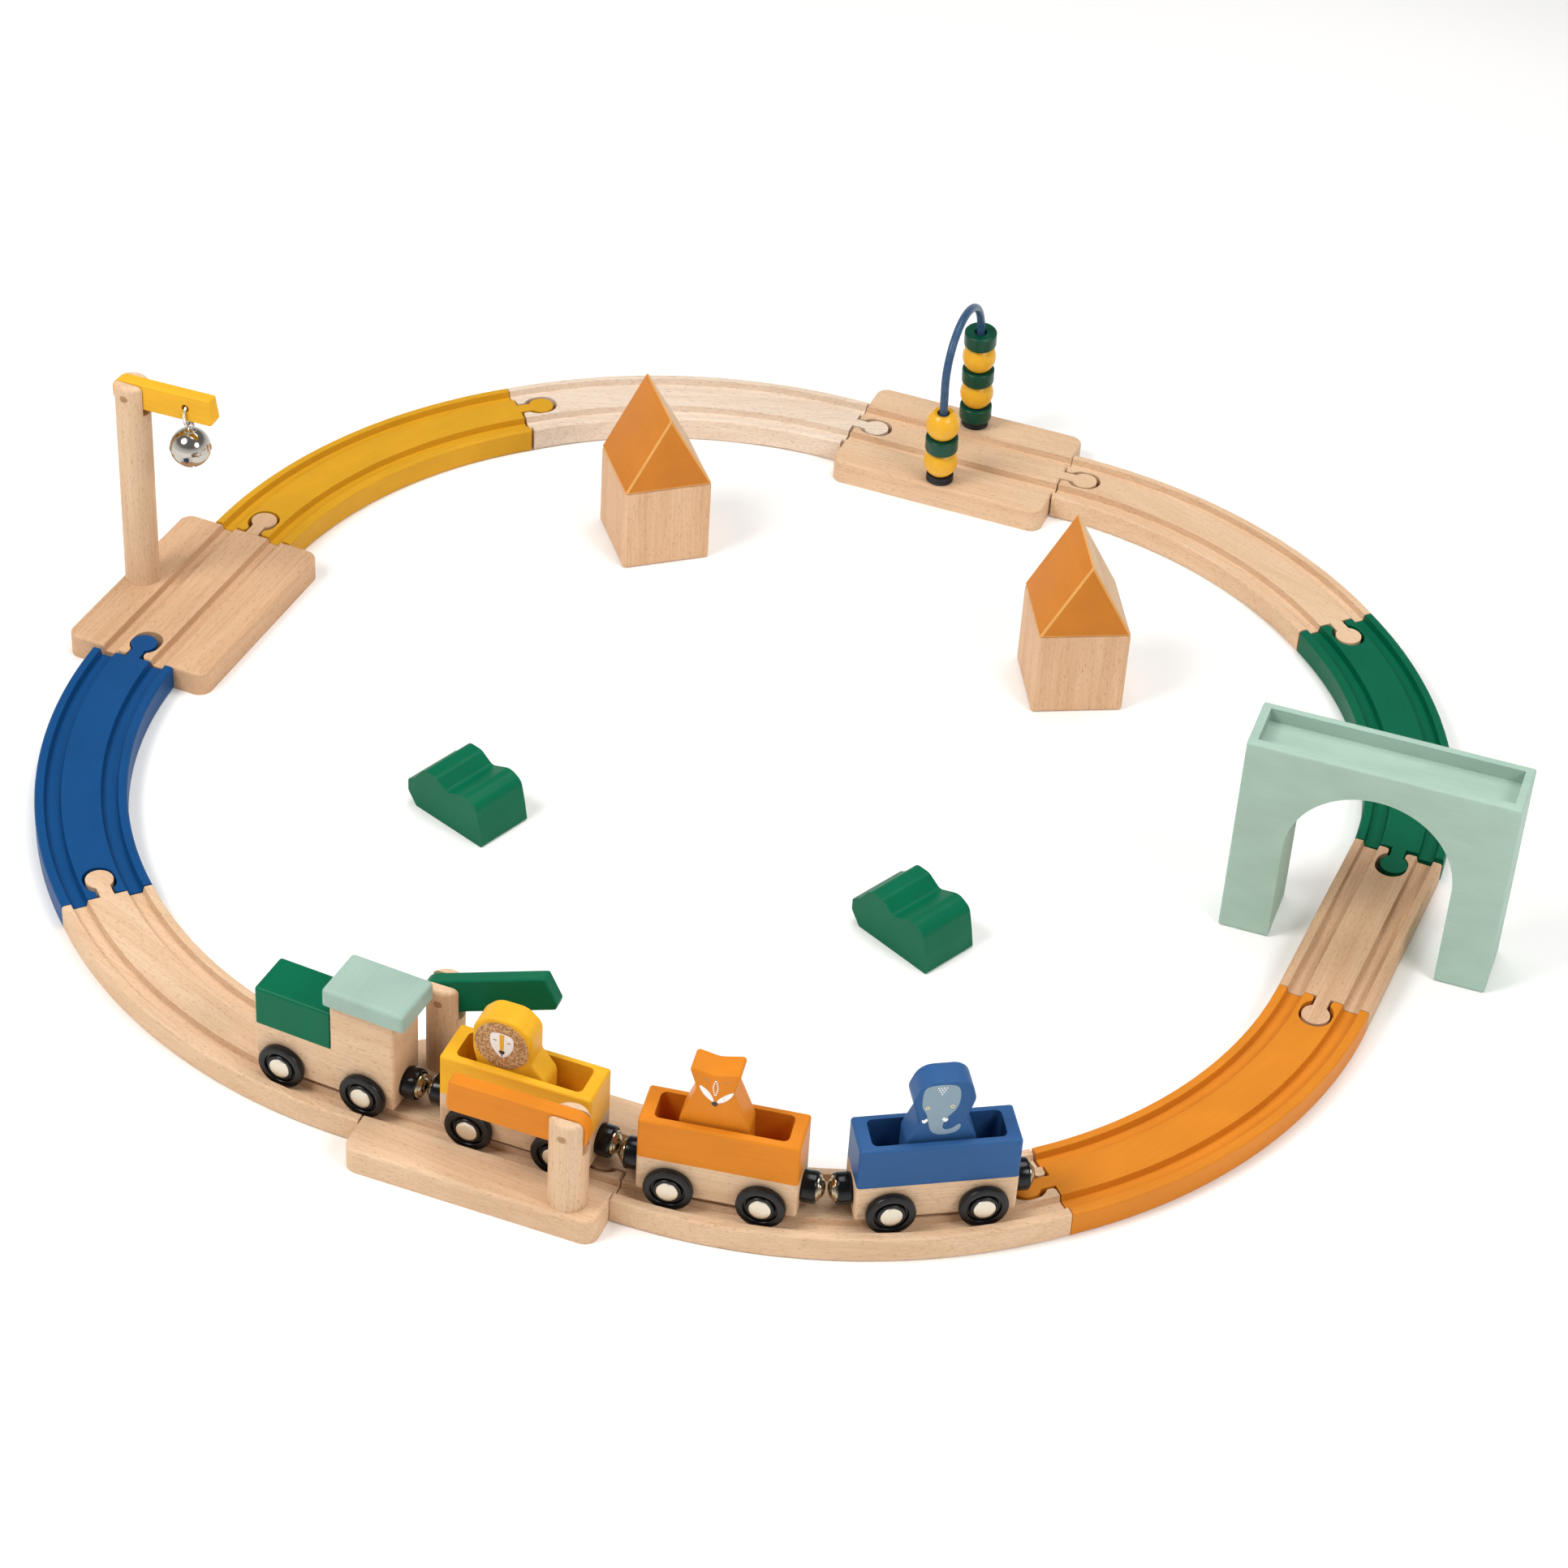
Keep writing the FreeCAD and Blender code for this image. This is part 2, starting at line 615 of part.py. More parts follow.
def leg_direction():
    """Upward along either leg; the wire lies in the platform's y, z plane."""
    lean = math.radians(WIRE_LEAN)
    return V(0, -math.sin(lean), math.cos(lean))


def leg_point(foot, distance):
    """Point on a leg, a distance along it from the platform's top."""
    return V(0, foot, TRACK_THICK) + leg_direction() * distance


def wire_bends():
    """Straight length of the near leg, of the far leg, and radius of the far bend.

    Both bends meet level at the apex. The far bend and far leg take up the rest of the span.
    """
    lean = math.radians(WIRE_LEAN)
    sine, cosine = math.sin(lean), math.cos(lean)
    near_foot, far_foot = wire_feet()
    rise = stacked(FAR_BEADS)[-1] + WIRE_OVER
    near = (rise - WIRE_NEAR_BEND * (1 + sine)) / cosine
    apex = near_foot - near * sine + WIRE_NEAR_BEND * cosine
    span = far_foot - apex
    far_bend = (span * cosine - rise * sine) / (cosine * cosine - sine * (1 - sine))
    far = (rise - far_bend * (1 - sine)) / cosine
    return near, far, far_bend


def bead_wire():
    """Bent wire with a ferrule at each foot; the ferrules are solids of their own."""
    near, far, far_bend = wire_bends()
    feet = wire_feet()
    near_end, far_end = leg_point(feet[0], near), leg_point(feet[1], far)
    lean = math.radians(WIRE_LEAN)
    right = V(0, math.cos(lean), math.sin(lean))
    near_centre = near_end + right * WIRE_NEAR_BEND
    far_centre = far_end - right * far_bend
    apex = near_centre + V(0, 0, WIRE_NEAR_BEND)
    near_mid = near_centre + (apex - near_centre + near_end - near_centre).normalize() * WIRE_NEAR_BEND
    far_mid = far_centre + (apex - far_centre + far_end - far_centre).normalize() * far_bend
    near_foot, far_foot = [leg_point(foot, -WIRE_FOOT) for foot in feet]
    path = Part.Wire([
        Part.LineSegment(near_foot, near_end).toShape(), Part.Arc(near_end, near_mid, apex).toShape(),
        Part.Arc(apex, far_mid, far_end).toShape(), Part.LineSegment(far_end, far_foot).toShape(),
    ])
    section = Part.Wire(Part.makeCircle(WIRE_RADIUS, near_foot, leg_direction()))
    solids = [path.makePipeShell([section], True, True)]
    for foot in feet:
        ring = cylinder(FERRULE_RADIUS, V(0, foot, TRACK_THICK), UP, FERRULE_HEIGHT)
        top = TRACK_THICK + FERRULE_HEIGHT
        ring = eased(ring, FERRULE_EDGE, lambda e: e.CenterOfMass.z > top - 0.01)
        leg = cylinder(WIRE_RADIUS, leg_point(foot, -WIRE_FOOT), leg_direction(), 3 * WIRE_FOOT)
        solids.append(ring.cut(leg))
    return on_platform(Part.makeCompound(solids), "bead_platform", 0, 0)


def bead_height(kind):
    return BALL_HEIGHT if kind == "ball" else DISC_HEIGHT


def bead(kind):
    """Bead with its hole, standing on z = 0."""
    height = bead_height(kind)
    if kind == "ball":
        body = Part.makeSphere(BALL_RADIUS, V(0, 0, height / 2))
        body = body.common(cylinder(2 * BALL_RADIUS, V(0, 0, 0), UP, height))
    else:
        body = eased(cylinder(DISC_RADIUS, V(0, 0, 0), UP, height), DISC_EDGE)
    return body.cut(cylinder(BEAD_HOLE, V(0, 0, -1), UP, height + 2))


def lowest_bead():
    """Where the stacks start along a leg: a leaning bead just clears the ferrule's rim."""
    lean = math.radians(WIRE_LEAN)
    return FERRULE_HEIGHT / math.cos(lean) + FERRULE_RADIUS * math.tan(lean) + BEAD_GAP


def stacked(kinds):
    """Distance of every bead's underside along its leg, and of the stack's top."""
    levels = [lowest_bead()]
    for kind in kinds:
        levels.append(levels[-1] + bead_height(kind) + BEAD_GAP)
    return levels


def bead_names(side, kinds):
    return ["%s_%s_%d" % (side, kind, i) for i, kind in enumerate(kinds, start=1)]


def beads():
    """All beads, stacked on their legs. The near leg is the one inside the loop."""
    nodes = {}
    for side, kinds, foot in zip(("near", "far"), (NEAR_BEADS, FAR_BEADS), wire_feet()):
        levels = stacked(kinds)
        for name, kind, level in zip(bead_names(side, kinds), kinds, levels):
            placed = bead(kind)
            placed.rotate(V(0, 0, 0), V(1, 0, 0), WIRE_LEAN)
            placed.translate(leg_point(foot, level))
            nodes[name] = on_platform(placed, "bead_platform", 0, 0)
    return nodes


# ================================================================ train
def axle_height():
    return TRACK_THICK - GROOVE_DEPTH + WHEEL_LIFT + WHEEL_RADIUS


def wheelset():
    """Two wheels on an axle, across the track at x = 0; three solids."""
    z = axle_height()
    inner = BODY_WIDTH / 2 + WHEEL_INSET
    solids = []
    for side in (-1, 1):
        out = V(0, side, 0)
        wheel = cylinder(WHEEL_RADIUS, V(0, side * inner, z), out, WHEEL_WIDTH)
        wheel = eased(wheel, WHEEL_EDGE)
        face = inner + WHEEL_WIDTH
        step = cylinder(WHEEL_STEP_RADIUS, V(0, side * (face - WHEEL_STEP_DEPTH), z), out, WHEEL_WIDTH)
        wheel = wheel.cut(step)
        cap = cylinder(CAP_RADIUS, V(0, side * (face - WHEEL_STEP_DEPTH - CAP_SEAT), z), out,
                       CAP_SEAT + WHEEL_STEP_DEPTH + CAP_PROUD)
        cap = eased(cap, CAP_EDGE, lambda e: abs(e.CenterOfMass.y) > face + CAP_PROUD - 0.01)
        solids.append(wheel.fuse(cap).removeSplitter())
    axle = cylinder(AXLE_RADIUS, V(0, -inner, z), V(0, 1, 0), 2 * inner)
    return Part.makeCompound(solids + [axle])


def chassis(length, deck):
    """Chassis block with its two axle holes."""
    body = eased(block(-length / 2, length / 2, BODY_WIDTH, WAGON_GROUND, deck), BODY_EDGE,
                 lambda e: abs(e.CenterOfMass.z - (WAGON_GROUND + deck) / 2) < 0.01
                 or e.CenterOfMass.z < WAGON_GROUND + 0.01)
    for side in (-1, 1):
        where = V(side * WHEELBASE / 2, -BODY_WIDTH, axle_height())
        body = body.cut(cylinder(AXLE_RADIUS + AXLE_FIT, where, V(0, 1, 0), 2 * BODY_WIDTH))
    return body


def wagon_box():
    """Painted box with its open pocket."""
    half = WAGON_LENGTH / 2
    box = eased(block(-half, half, BODY_WIDTH, WAGON_DECK + SEAM_GAP, WAGON_RIM), BODY_EDGE,
                lambda e: e.CenterOfMass.z > WAGON_DECK + 1)
    inner_x, inner_y = half - POCKET_END, BODY_WIDTH / 2 - POCKET_SIDE
    points = [
        (-inner_x, -inner_y, POCKET_CORNER), (inner_x, -inner_y, POCKET_CORNER),
        (inner_x, inner_y, POCKET_CORNER), (-inner_x, inner_y, POCKET_CORNER),
    ]
    return box.cut(in_plan(points, WAGON_RIM - POCKET_DEPTH, WAGON_RIM + 1))


def coupler(length, ends):
    """Black cups with a domed magnet in each; ends are +1 at the front and -1 at the rear."""
    solids = []
    for end in ends:
        out = V(end, 0, 0)
        start = V(end * length / 2, 0, COUPLER_HEIGHT)
        cup = eased(cylinder(COUPLER_CUP, start, out, COUPLER_CUP_LENGTH), COUPLER_EDGE,
                    lambda e: abs(e.CenterOfMass.x) > length / 2 + COUPLER_CUP_LENGTH - 0.01)
        seat = cylinder(MAGNET_RADIUS - MAGNET_TRIM, start + out * MAGNET_SEAT, out, COUPLER_REACH)
        tip = length / 2 + COUPLER_REACH
        dome = Part.makeSphere(MAGNET_RADIUS, V(end * (tip - MAGNET_RADIUS), 0, COUPLER_HEIGHT))
        solids += [cup.cut(seat), dome.common(seat)]
    return Part.makeCompound(solids)


def engine_parts():
    """Engine's chassis, hood, cab and roof."""
    half = ENGINE_LENGTH / 2
    split = half - HOOD_LENGTH
    deck = ENGINE_DECK + SEAM_GAP
    hood = eased(block(split + SEAM_GAP, half, BODY_WIDTH, deck, HOOD_TOP), BODY_EDGE,
                 lambda e: e.CenterOfMass.x > split + 1 and e.CenterOfMass.z > deck + 1)
    cab = eased(block(-half, split, BODY_WIDTH, deck, CAB_TOP), BODY_EDGE,
                lambda e: abs(e.CenterOfMass.z - (deck + CAB_TOP) / 2) < 0.01)
    roof = eased(block(-half - ROOF_REAR, split + ROOF_OVERHANG, BODY_WIDTH + 2 * ROOF_OVERHANG,
                       CAB_TOP + SEAM_GAP, CAB_TOP + ROOF_THICK), ROOF_EDGE,
                 lambda e: e.CenterOfMass.z > CAB_TOP + 1)
    return {
        "engine_chassis": chassis(ENGINE_LENGTH, ENGINE_DECK),
        "engine_hood": hood,
        "engine_cab": cab,
        "engine_roof": roof,
    }


def animal(points):
    """Animal cut from board; points are x and height above the pocket's floor."""
    floor = WAGON_RIM - POCKET_DEPTH + ANIMAL_FIT
    body = in_side_view([(p[0], floor + p[1]) + tuple(p[2:]) for p in points], ANIMAL_THICK)
    return eased(body, ANIMAL_EDGE, lambda e: abs(abs(e.CenterOfMass.y) - ANIMAL_THICK / 2) < 0.01)


def lion_outline():
    return [
        (-11.4, 0, 1.5), (-11.4, 12, 6), (-4.9, 20, 3), (-5.0, 33, 7), (1.6, 38.5, 8),
        (13.6, 38.5, 8), (20.0, 32, 7), (20.0, 20, 6), (18.2, 12, 4), (18.2, 0, 1.5),
    ]


def fox_outline():
    return [
        (-11.3, 0, 1.5), (-11.0, 15, 7), (-4.2, 32, 5), (-6.9, 43.0, 1.6), (4.0, 40.5, 9),
        (14.4, 43.0, 1.6), (10.8, 32, 5), (17.0, 15, 7), (17.0, 0, 1.5),
    ]


def elephant_outline():
    return [
        (-14.5, 0, 1.5), (-14.5, 14, 6), (-10.2, 24, 2.5), (-13.0, 34, 5), (-10.5, 44, 7),
        (8.0, 44, 8), (12.0, 34, 6), (9.0, 24, 2.5), (13.3, 14, 6), (13.3, 0, 1.5),
    ]


ANIMALS = {
    "yellow_wagon": ("lion", lion_outline),
    "orange_wagon": ("fox", fox_outline),
    "blue_wagon": ("elephant", elephant_outline),
}


def train():
    """Every piece of the engine and wagons at its place."""
    nodes = {}
    for vehicle, station in STATIONS.items():
        if vehicle == "engine":
            parts = engine_parts()
            parts["engine_coupler"] = coupler(ENGINE_LENGTH, (-1,))
        else:
            creature, shape = ANIMALS[vehicle]
            parts = {
                vehicle + "_chassis": chassis(WAGON_LENGTH, WAGON_DECK),
                vehicle + "_box": wagon_box(),
                vehicle + "_couplers": coupler(WAGON_LENGTH, (1, -1)),
                creature: animal(shape()),
            }
        for end, side in (("front", 1), ("rear", -1)):
            pair = wheelset()
            pair.translate(V(side * WHEELBASE / 2, 0, 0))
            parts["%s_%s_wheels" % (vehicle, end)] = pair
        x, y, heading = seated(station)
        for name, shape in parts.items():
            nodes[name] = put(shape, x, y, heading)
    return nodes


# ================================================================ scenery
def bridge():
    """Arch bridge with a shallow tray on top."""
    half, depth = BRIDGE_WIDTH / 2, BRIDGE_DEPTH
    body = eased(block(-half, half, depth, 0, BRIDGE_HEIGHT), BRIDGE_EDGE)
    span = half - BRIDGE_LEG
    spring = BRIDGE_CROWN - span
    across = V(0, 1, 0)
    arch = cylinder(span, V(0, -depth, spring), across, 2 * depth)
    arch = arch.fuse(block(-span, span, 2 * depth, -1, spring))
    tray_x, tray_y = half - TRAY_RIM, depth - 2 * TRAY_RIM
    tray = block(-tray_x, tray_x, tray_y, BRIDGE_HEIGHT - TRAY_DEPTH, BRIDGE_HEIGHT + 1)
    return body.cut(arch).cut(tray)


def house_block():
    half = HOUSE_SIDE / 2
    return eased(block(-half, half, HOUSE_SIDE, 0, HOUSE_SIDE), HOUSE_EDGE)


def house_roof():
    """Gabled roof with its ridge along y."""
    half = HOUSE_SIDE / 2
    base = HOUSE_SIDE + SEAM_GAP
    points = [
        (-half, base, HOUSE_EDGE / 2), (half, base, HOUSE_EDGE / 2), (0, base + GABLE_HEIGHT, HOUSE_EDGE),
    ]
    return in_side_view(points, HOUSE_SIDE)


def bush():
    """Block with two humps on top and a bulge at its left end; x, z outline from its left foot."""
    tall = BUSH_HEIGHT
    points = [
        (0, 0, 1.0), (BUSH_LENGTH, 0, 1.0), (BUSH_LENGTH - 1.5, 0.38 * tall, 8.0),
        (BUSH_LENGTH - 4.0, 0.86 * tall, 5.0), (0.74 * BUSH_LENGTH, tall, 7.0),
        (0.47 * BUSH_LENGTH, 0.8 * tall, 3.0), (0.3 * BUSH_LENGTH, tall, 4.0),
        (0.12 * BUSH_LENGTH, tall, 4.0), (-0.02 * BUSH_LENGTH, 0.66 * tall, 3.0),
        (-BUSH_BULGE, 0.55 * tall, 2.5), (-BUSH_BULGE, 0.28 * tall, 3.0),
    ]
    left = BUSH_LENGTH / 2
    return in_side_view([(p[0] - left, p[1], p[2]) for p in points], BUSH_DEPTH)


def bridge_spot():
    """The bridge's middle and turn: it stands across the plain straight."""
    x, y, heading = LAYOUT["plain_straight"]
    x, y = advance(x, y, heading, STRAIGHT_LENGTH / 2)
    return x + BRIDGE_SHIFT[0], y + BRIDGE_SHIFT[1], BRIDGE_SHIFT[2]


def in_loop(spots):
    """Places inside the loop, which move with its size."""
    half = CURVE_RADIUS + STRAIGHT_LENGTH / 2
    return [(half * x, half * y, turn) for x, y, turn in spots]


def scenery():
    nodes = {"bridge": put(bridge(), *bridge_spot())}
    for i, spot in enumerate(in_loop(HOUSE_SPOTS), start=1):
        nodes["house_block_%d" % i] = put(house_block(), *spot)
        nodes["house_roof_%d" % i] = put(house_roof(), *spot)
    for i, spot in enumerate(in_loop(BUSH_SPOTS), start=1):
        nodes["bush_%d" % i] = put(bush(), *spot)
    return nodes


# ================================================================ the whole set
def all_nodes():
    """Every node's shape, about the loop's middle."""
    nodes = {name: track_piece(name, kind) for name, kind in PIECES}
    nodes.update(signals())
    nodes["bead_wire"] = bead_wire()
    nodes.update(beads())
    nodes.update(train())
    nodes.update(scenery())
    return nodes


def centring(nodes):
    """Move that brings the middle of the whole set to x = 0, y = 0."""
    box = FreeCAD.BoundBox()
    for shape in nodes.values():
        box.add(shape.optimalBoundingBox(False))
    return V(-box.Center.x, -box.Center.y, 0)


def main():
    os.makedirs("parts", exist_ok=True)
    nodes = all_nodes()
    shift = centring(nodes)
    for name, shape in nodes.items():
        moved = shape.copy()
        moved.translate(shift)
        moved.exportStep("parts/%s.step" % name)
        print("%-26s %d solid(s) %10.1f mm3" % (name, len(moved.Solids), moved.Volume))
    print("moved by", round(shift.x, 3), round(shift.y, 3), "nodes", len(nodes))


if __name__ == "__main__":
    main()
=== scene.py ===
"""Looks of a wooden train set: an oval of grooved track with a train, signals, beads, houses and a bridge.

The shapes that a design tool made stay as they are where they are right, and get a finish. Wheels,
couplers, beads, the wire, the bell, the roofs and the printed faces are built here. Lengths are in
millimetres until they are made, and places come from the joints and boxes of the design.
"""
from __future__ import annotations

import json
import logging
import math
from dataclasses import dataclass
from enum import Enum
from typing import Any, Iterable, Sequence

import bmesh
import bpy
from mathutils import Matrix, Vector

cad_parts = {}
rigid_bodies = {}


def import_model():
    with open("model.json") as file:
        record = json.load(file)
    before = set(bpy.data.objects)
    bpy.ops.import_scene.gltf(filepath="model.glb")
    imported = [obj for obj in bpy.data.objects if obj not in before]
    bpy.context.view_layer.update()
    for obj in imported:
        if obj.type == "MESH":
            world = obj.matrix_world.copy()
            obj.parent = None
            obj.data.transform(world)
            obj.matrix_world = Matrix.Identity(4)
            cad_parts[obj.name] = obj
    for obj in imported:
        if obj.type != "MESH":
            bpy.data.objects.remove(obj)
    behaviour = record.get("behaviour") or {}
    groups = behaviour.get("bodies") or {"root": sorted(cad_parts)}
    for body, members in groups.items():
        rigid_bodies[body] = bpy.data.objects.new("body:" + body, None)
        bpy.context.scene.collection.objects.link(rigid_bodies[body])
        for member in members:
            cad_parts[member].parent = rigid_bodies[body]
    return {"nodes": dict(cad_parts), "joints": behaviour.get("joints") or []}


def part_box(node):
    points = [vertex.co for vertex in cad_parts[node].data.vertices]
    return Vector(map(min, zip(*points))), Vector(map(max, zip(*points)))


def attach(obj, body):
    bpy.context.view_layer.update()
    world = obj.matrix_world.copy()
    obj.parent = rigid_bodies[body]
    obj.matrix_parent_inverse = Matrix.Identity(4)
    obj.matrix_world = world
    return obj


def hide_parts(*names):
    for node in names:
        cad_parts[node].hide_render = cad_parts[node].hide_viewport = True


log = logging.getLogger("train_set")

MM = 0.001
UP = Vector((0.0, 0.0, 1.0))
ALONG_X = Vector((1.0, 0.0, 0.0))
FULL_TURN = 2 * math.pi
Point = tuple[float, float]
Colour = tuple[float, float, float, float]
Socket = bpy.types.NodeSocket
Shape = bmesh.types.BMesh
Object = bpy.types.Object
Material = bpy.types.Material
BLACK: Colour = (0.0, 0.0, 0.0, 1.0)
WHITE: Colour = (1.0, 1.0, 1.0, 1.0)
SEED_STEPS = (61.0, 23.0, 17.0)        # how far one seed moves a wood pattern, in millimetres


# ---- places and angles
def helper_for(direction: Vector) -> Vector:
    """A direction that isn't near the given one."""
    return UP if abs(direction.z) < 0.9 else ALONG_X


def place_of(x: Vector, y: Vector, z: Vector, origin: Vector) -> Matrix:
    """A place from its three axes and its origin."""
    return Matrix.Translation(origin) @ Matrix((x, y, z)).transposed().to_4x4()


def frame_at(origin: Vector, along: Vector) -> Matrix:
    """A place whose Z axis points along a direction.

    Args:
        origin: Its origin in millimetres.
        along: Its Z axis.

    Returns:
        The matrix from the place to the set.
    """
    z = along.normalized()
    helper = helper_for(z)
    x = (helper - helper.dot(z) * z).normalized()
    return place_of(x, z.cross(x), z, origin)


def turns(first: float, last: float, steps: int) -> list[float]:
    """Even angles from the first to the last, both included."""
    return [first + (last - first) * i / steps for i in range(steps + 1)]


def round_angles(count: int) -> list[float]:
    """Even angles once round."""
    return turns(0.0, FULL_TURN, count)[:-1]


def level(turn_deg: float) -> Vector:
    """A level direction."""
    return Vector((math.cos(math.radians(turn_deg)), math.sin(math.radians(turn_deg)), 0.0))


# ---- materials
def linear(code: str) -> Colour:
    """Turns an sRGB hex colour into linear light.

    Args:
        code: The colour as "#RRGGBB".

    Returns:
        Linear red, green, blue and an alpha of 1.
    """
    parts = [int(code[i : i + 2], 16) / 255 for i in (1, 3, 5)]
    flat = [c / 12.92 if c <= 0.04045 else ((c + 0.055) / 1.055) ** 2.4 for c in parts]
    return flat[0], flat[1], flat[2], 1.0


def shade(code: str, amount: float) -> Colour:
    """A linear colour made lighter or darker.

    Args:
        code: The colour as "#RRGGBB".
        amount: Factor on its light.

    Returns:
        The changed linear colour.
    """
    red, green, blue, _ = linear(code)
    return min(red * amount, 1.0), min(green * amount, 1.0), min(blue * amount, 1.0), 1.0


def add_node(
    owner: Material | bpy.types.World,
    kind: str,
    inputs: dict[int | str, Any] | None = None,
    **settings: Any,
) -> bpy.types.Node:
    """Adds one shader node with its settings, values and links.

    Args:
        owner: The material or world that gets the node.
        kind: The node's type.
        inputs: A value, or an output to link, for each named or numbered input.
        **settings: Properties of the node; stops gives a colour ramp's places and colours.

    Returns:
        The new node.
    """
    made = owner.node_tree.nodes.new(kind)
    for key, value in settings.items():
        if key != "stops":
            setattr(made, key, value)
            continue
        ramp = made.color_ramp
        while len(ramp.elements) < len(value):
            ramp.elements.new(0.5)
        for element, (place, colour) in zip(ramp.elements, value):
            element.position, element.color = place, colour
    for key, value in (inputs or {}).items():
        if isinstance(value, Socket):
            owner.node_tree.links.new(value, made.inputs[key])
        else:
            made.inputs[key].default_value = value
    return made


class Shading:
    """A material in the making: its surface shader and the nodes that feed it."""

    def __init__(self, name: str, **values: Any) -> None:
        """Starts a material with a surface shader.

        Args:
            name: The material's name.
            **values: The shader's inputs, with underscores for spaces.
        """
        self.material = bpy.data.materials.new(name)
        self.material.use_nodes = True
        self.material.node_tree.nodes.clear()
        inputs = {key.replace("_", " "): value for key, value in values.items()}
        self.shader = self.node("ShaderNodeBsdfPrincipled", inputs)
        self.surface = self.node("ShaderNodeOutputMaterial", {"Surface": self.shader.outputs[0]})

    def node(self, kind: str, inputs: dict[int | str, Any] | None = None, **settings: Any) -> bpy.types.Node:
        """Adds one node to the material."""
        return add_node(self.material, kind, inputs, **settings)

    def feed(self, **outputs: Socket) -> None:
        """Links outputs to the shader's inputs, whose names have underscores for spaces."""
        for key, output in outputs.items():
            self.material.node_tree.links.new(output, self.shader.inputs[key.replace("_", " ")])

    def in_piece(self) -> Socket:
        """The place in the piece, in metres."""
        return self.node("ShaderNodeTexCoord").outputs["Object"]

    def along_grain(self, grain: Vector, seed: float) -> Socket:
        """Gives a place in millimetres whose first axis runs along the wood's fibres.

        Args:
            grain: Direction of the fibres in the piece.
            seed: Moves the pattern, so that two pieces aren't cut alike.

        Returns:
            The output that holds the place.
        """
        fibre = grain.normalized()
        across = helper_for(fibre).cross(fibre).normalized()
        turn = Matrix((fibre, across, fibre.cross(across))).to_euler("XYZ")
        shift = tuple(step * seed for step in SEED_STEPS)
        inputs = {"Vector": self.in_piece(), "Rotation": turn, "Scale": (1 / MM,) * 3, "Location": shift}
        return self.node("ShaderNodeMapping", inputs).outputs[0]

    def noise(self, where: Socket, scale: float, detail: float) -> Socket:
        """Noise of 0 to 1, with its scale and octaves."""
        return self.node("ShaderNodeTexNoise", {"Vector": where, "Scale": scale, "Detail": detail}).outputs[0]

    def streaks(self, where: Socket, long: float, wide: float, detail: float = 3.0) -> Socket:
        """Noise drawn out along the fibres.

        Args:
            where: Place in millimetres, fibres along the first axis.
            long: Length of a streak in millimetres.
            wide: Its width in millimetres.
            detail: Octaves of the noise.

        Returns:
            The output that holds 0 to 1.
        """
        inputs = {0: where, 1: (1 / long, 1 / wide, 1 / wide)}
        squeezed = self.node("ShaderNodeVectorMath", inputs, operation="MULTIPLY")
        return self.noise(squeezed.outputs[0], 1.0, detail)

    def ramp(self, value: Socket, *stops: tuple[float, Colour]) -> Socket:
        """A colour that runs through stops along a value."""
        return self.node("ShaderNodeValToRGB", {0: value}, stops=stops).outputs[0]

    def spread(self, value: Socket, low: float, high: float) -> Socket:
        """Stretches 0 to 1 over a range."""
        return self.node("ShaderNodeMapRange", {0: value, 3: low, 4: high}).outputs[0]

    def blend(self, amount: Any, first: Any, second: Any) -> Socket:
        """Mixes two colours."""
        return self.node("ShaderNodeMix", {0: amount, 6: first, 7: second}, data_type="RGBA").outputs[2]

    def bump(self, height: Socket, strength: float, depth_mm: float) -> None:
        """Gives the surface a relief."""
        inputs = {"Height": height, "Strength": strength, "Distance": depth_mm * MM}
        self.feed(Normal=self.node("ShaderNodeBump", inputs).outputs[0])


@dataclass(frozen=True)
class SandedBeech:
    """Bare beech, sanded: pale pink-brown and nearly matt, with soft bands and short dark flecks."""

    name: str
    grain: Vector
    seed: float = 0.0
    pale: str = "#DBBB9A"
    deep: str = "#CEA883"
    fleck: str = "#99704D"
    band_mm: Point = (150.0, 8.0)      # a growth band's length and width on a board
    fibre_mm: Point = (30.0, 0.9)      # fibre bundles
    fleck_mm: Point = (2.6, 0.5)       # rays; the real ones are 0.3 wide, drawn wider so that they show
    fleck_share: float = 0.42
    roughness: float = 0.58
    specular: float = 0.30

    def material(self) -> Material:
        """Builds the material."""
        made = Shading(self.name, Roughness=self.roughness, Specular_IOR_Level=self.specular)
        where = made.along_grain(self.grain, self.seed)
        bands = made.streaks(where, *self.band_mm, detail=2.0)
        fibres = made.streaks(where, *self.fibre_mm, detail=4.0)
        rays = made.streaks(where, *self.fleck_mm, detail=1.0)
        board = made.ramp(bands, (0.34, linear(self.deep)), (0.62, linear(self.pale)))
        lines = made.ramp(fibres, (0.30, shade(self.deep, 0.92)), (0.62, linear(self.pale)))
        wood = made.blend(0.5, board, lines)
        marks = made.ramp(rays, (0.60, BLACK), (0.70, WHITE))
        faint = made.node("ShaderNodeMath", {0: marks, 1: self.fleck_share}, operation="MULTIPLY").outputs[0]
        dull = made.spread(fibres, self.roughness - 0.06, self.roughness + 0.08)
        made.feed(Base_Color=made.blend(faint, wood, linear(self.fleck)), Roughness=dull)
        made.bump(fibres, 0.25, 0.06)
        return made.material


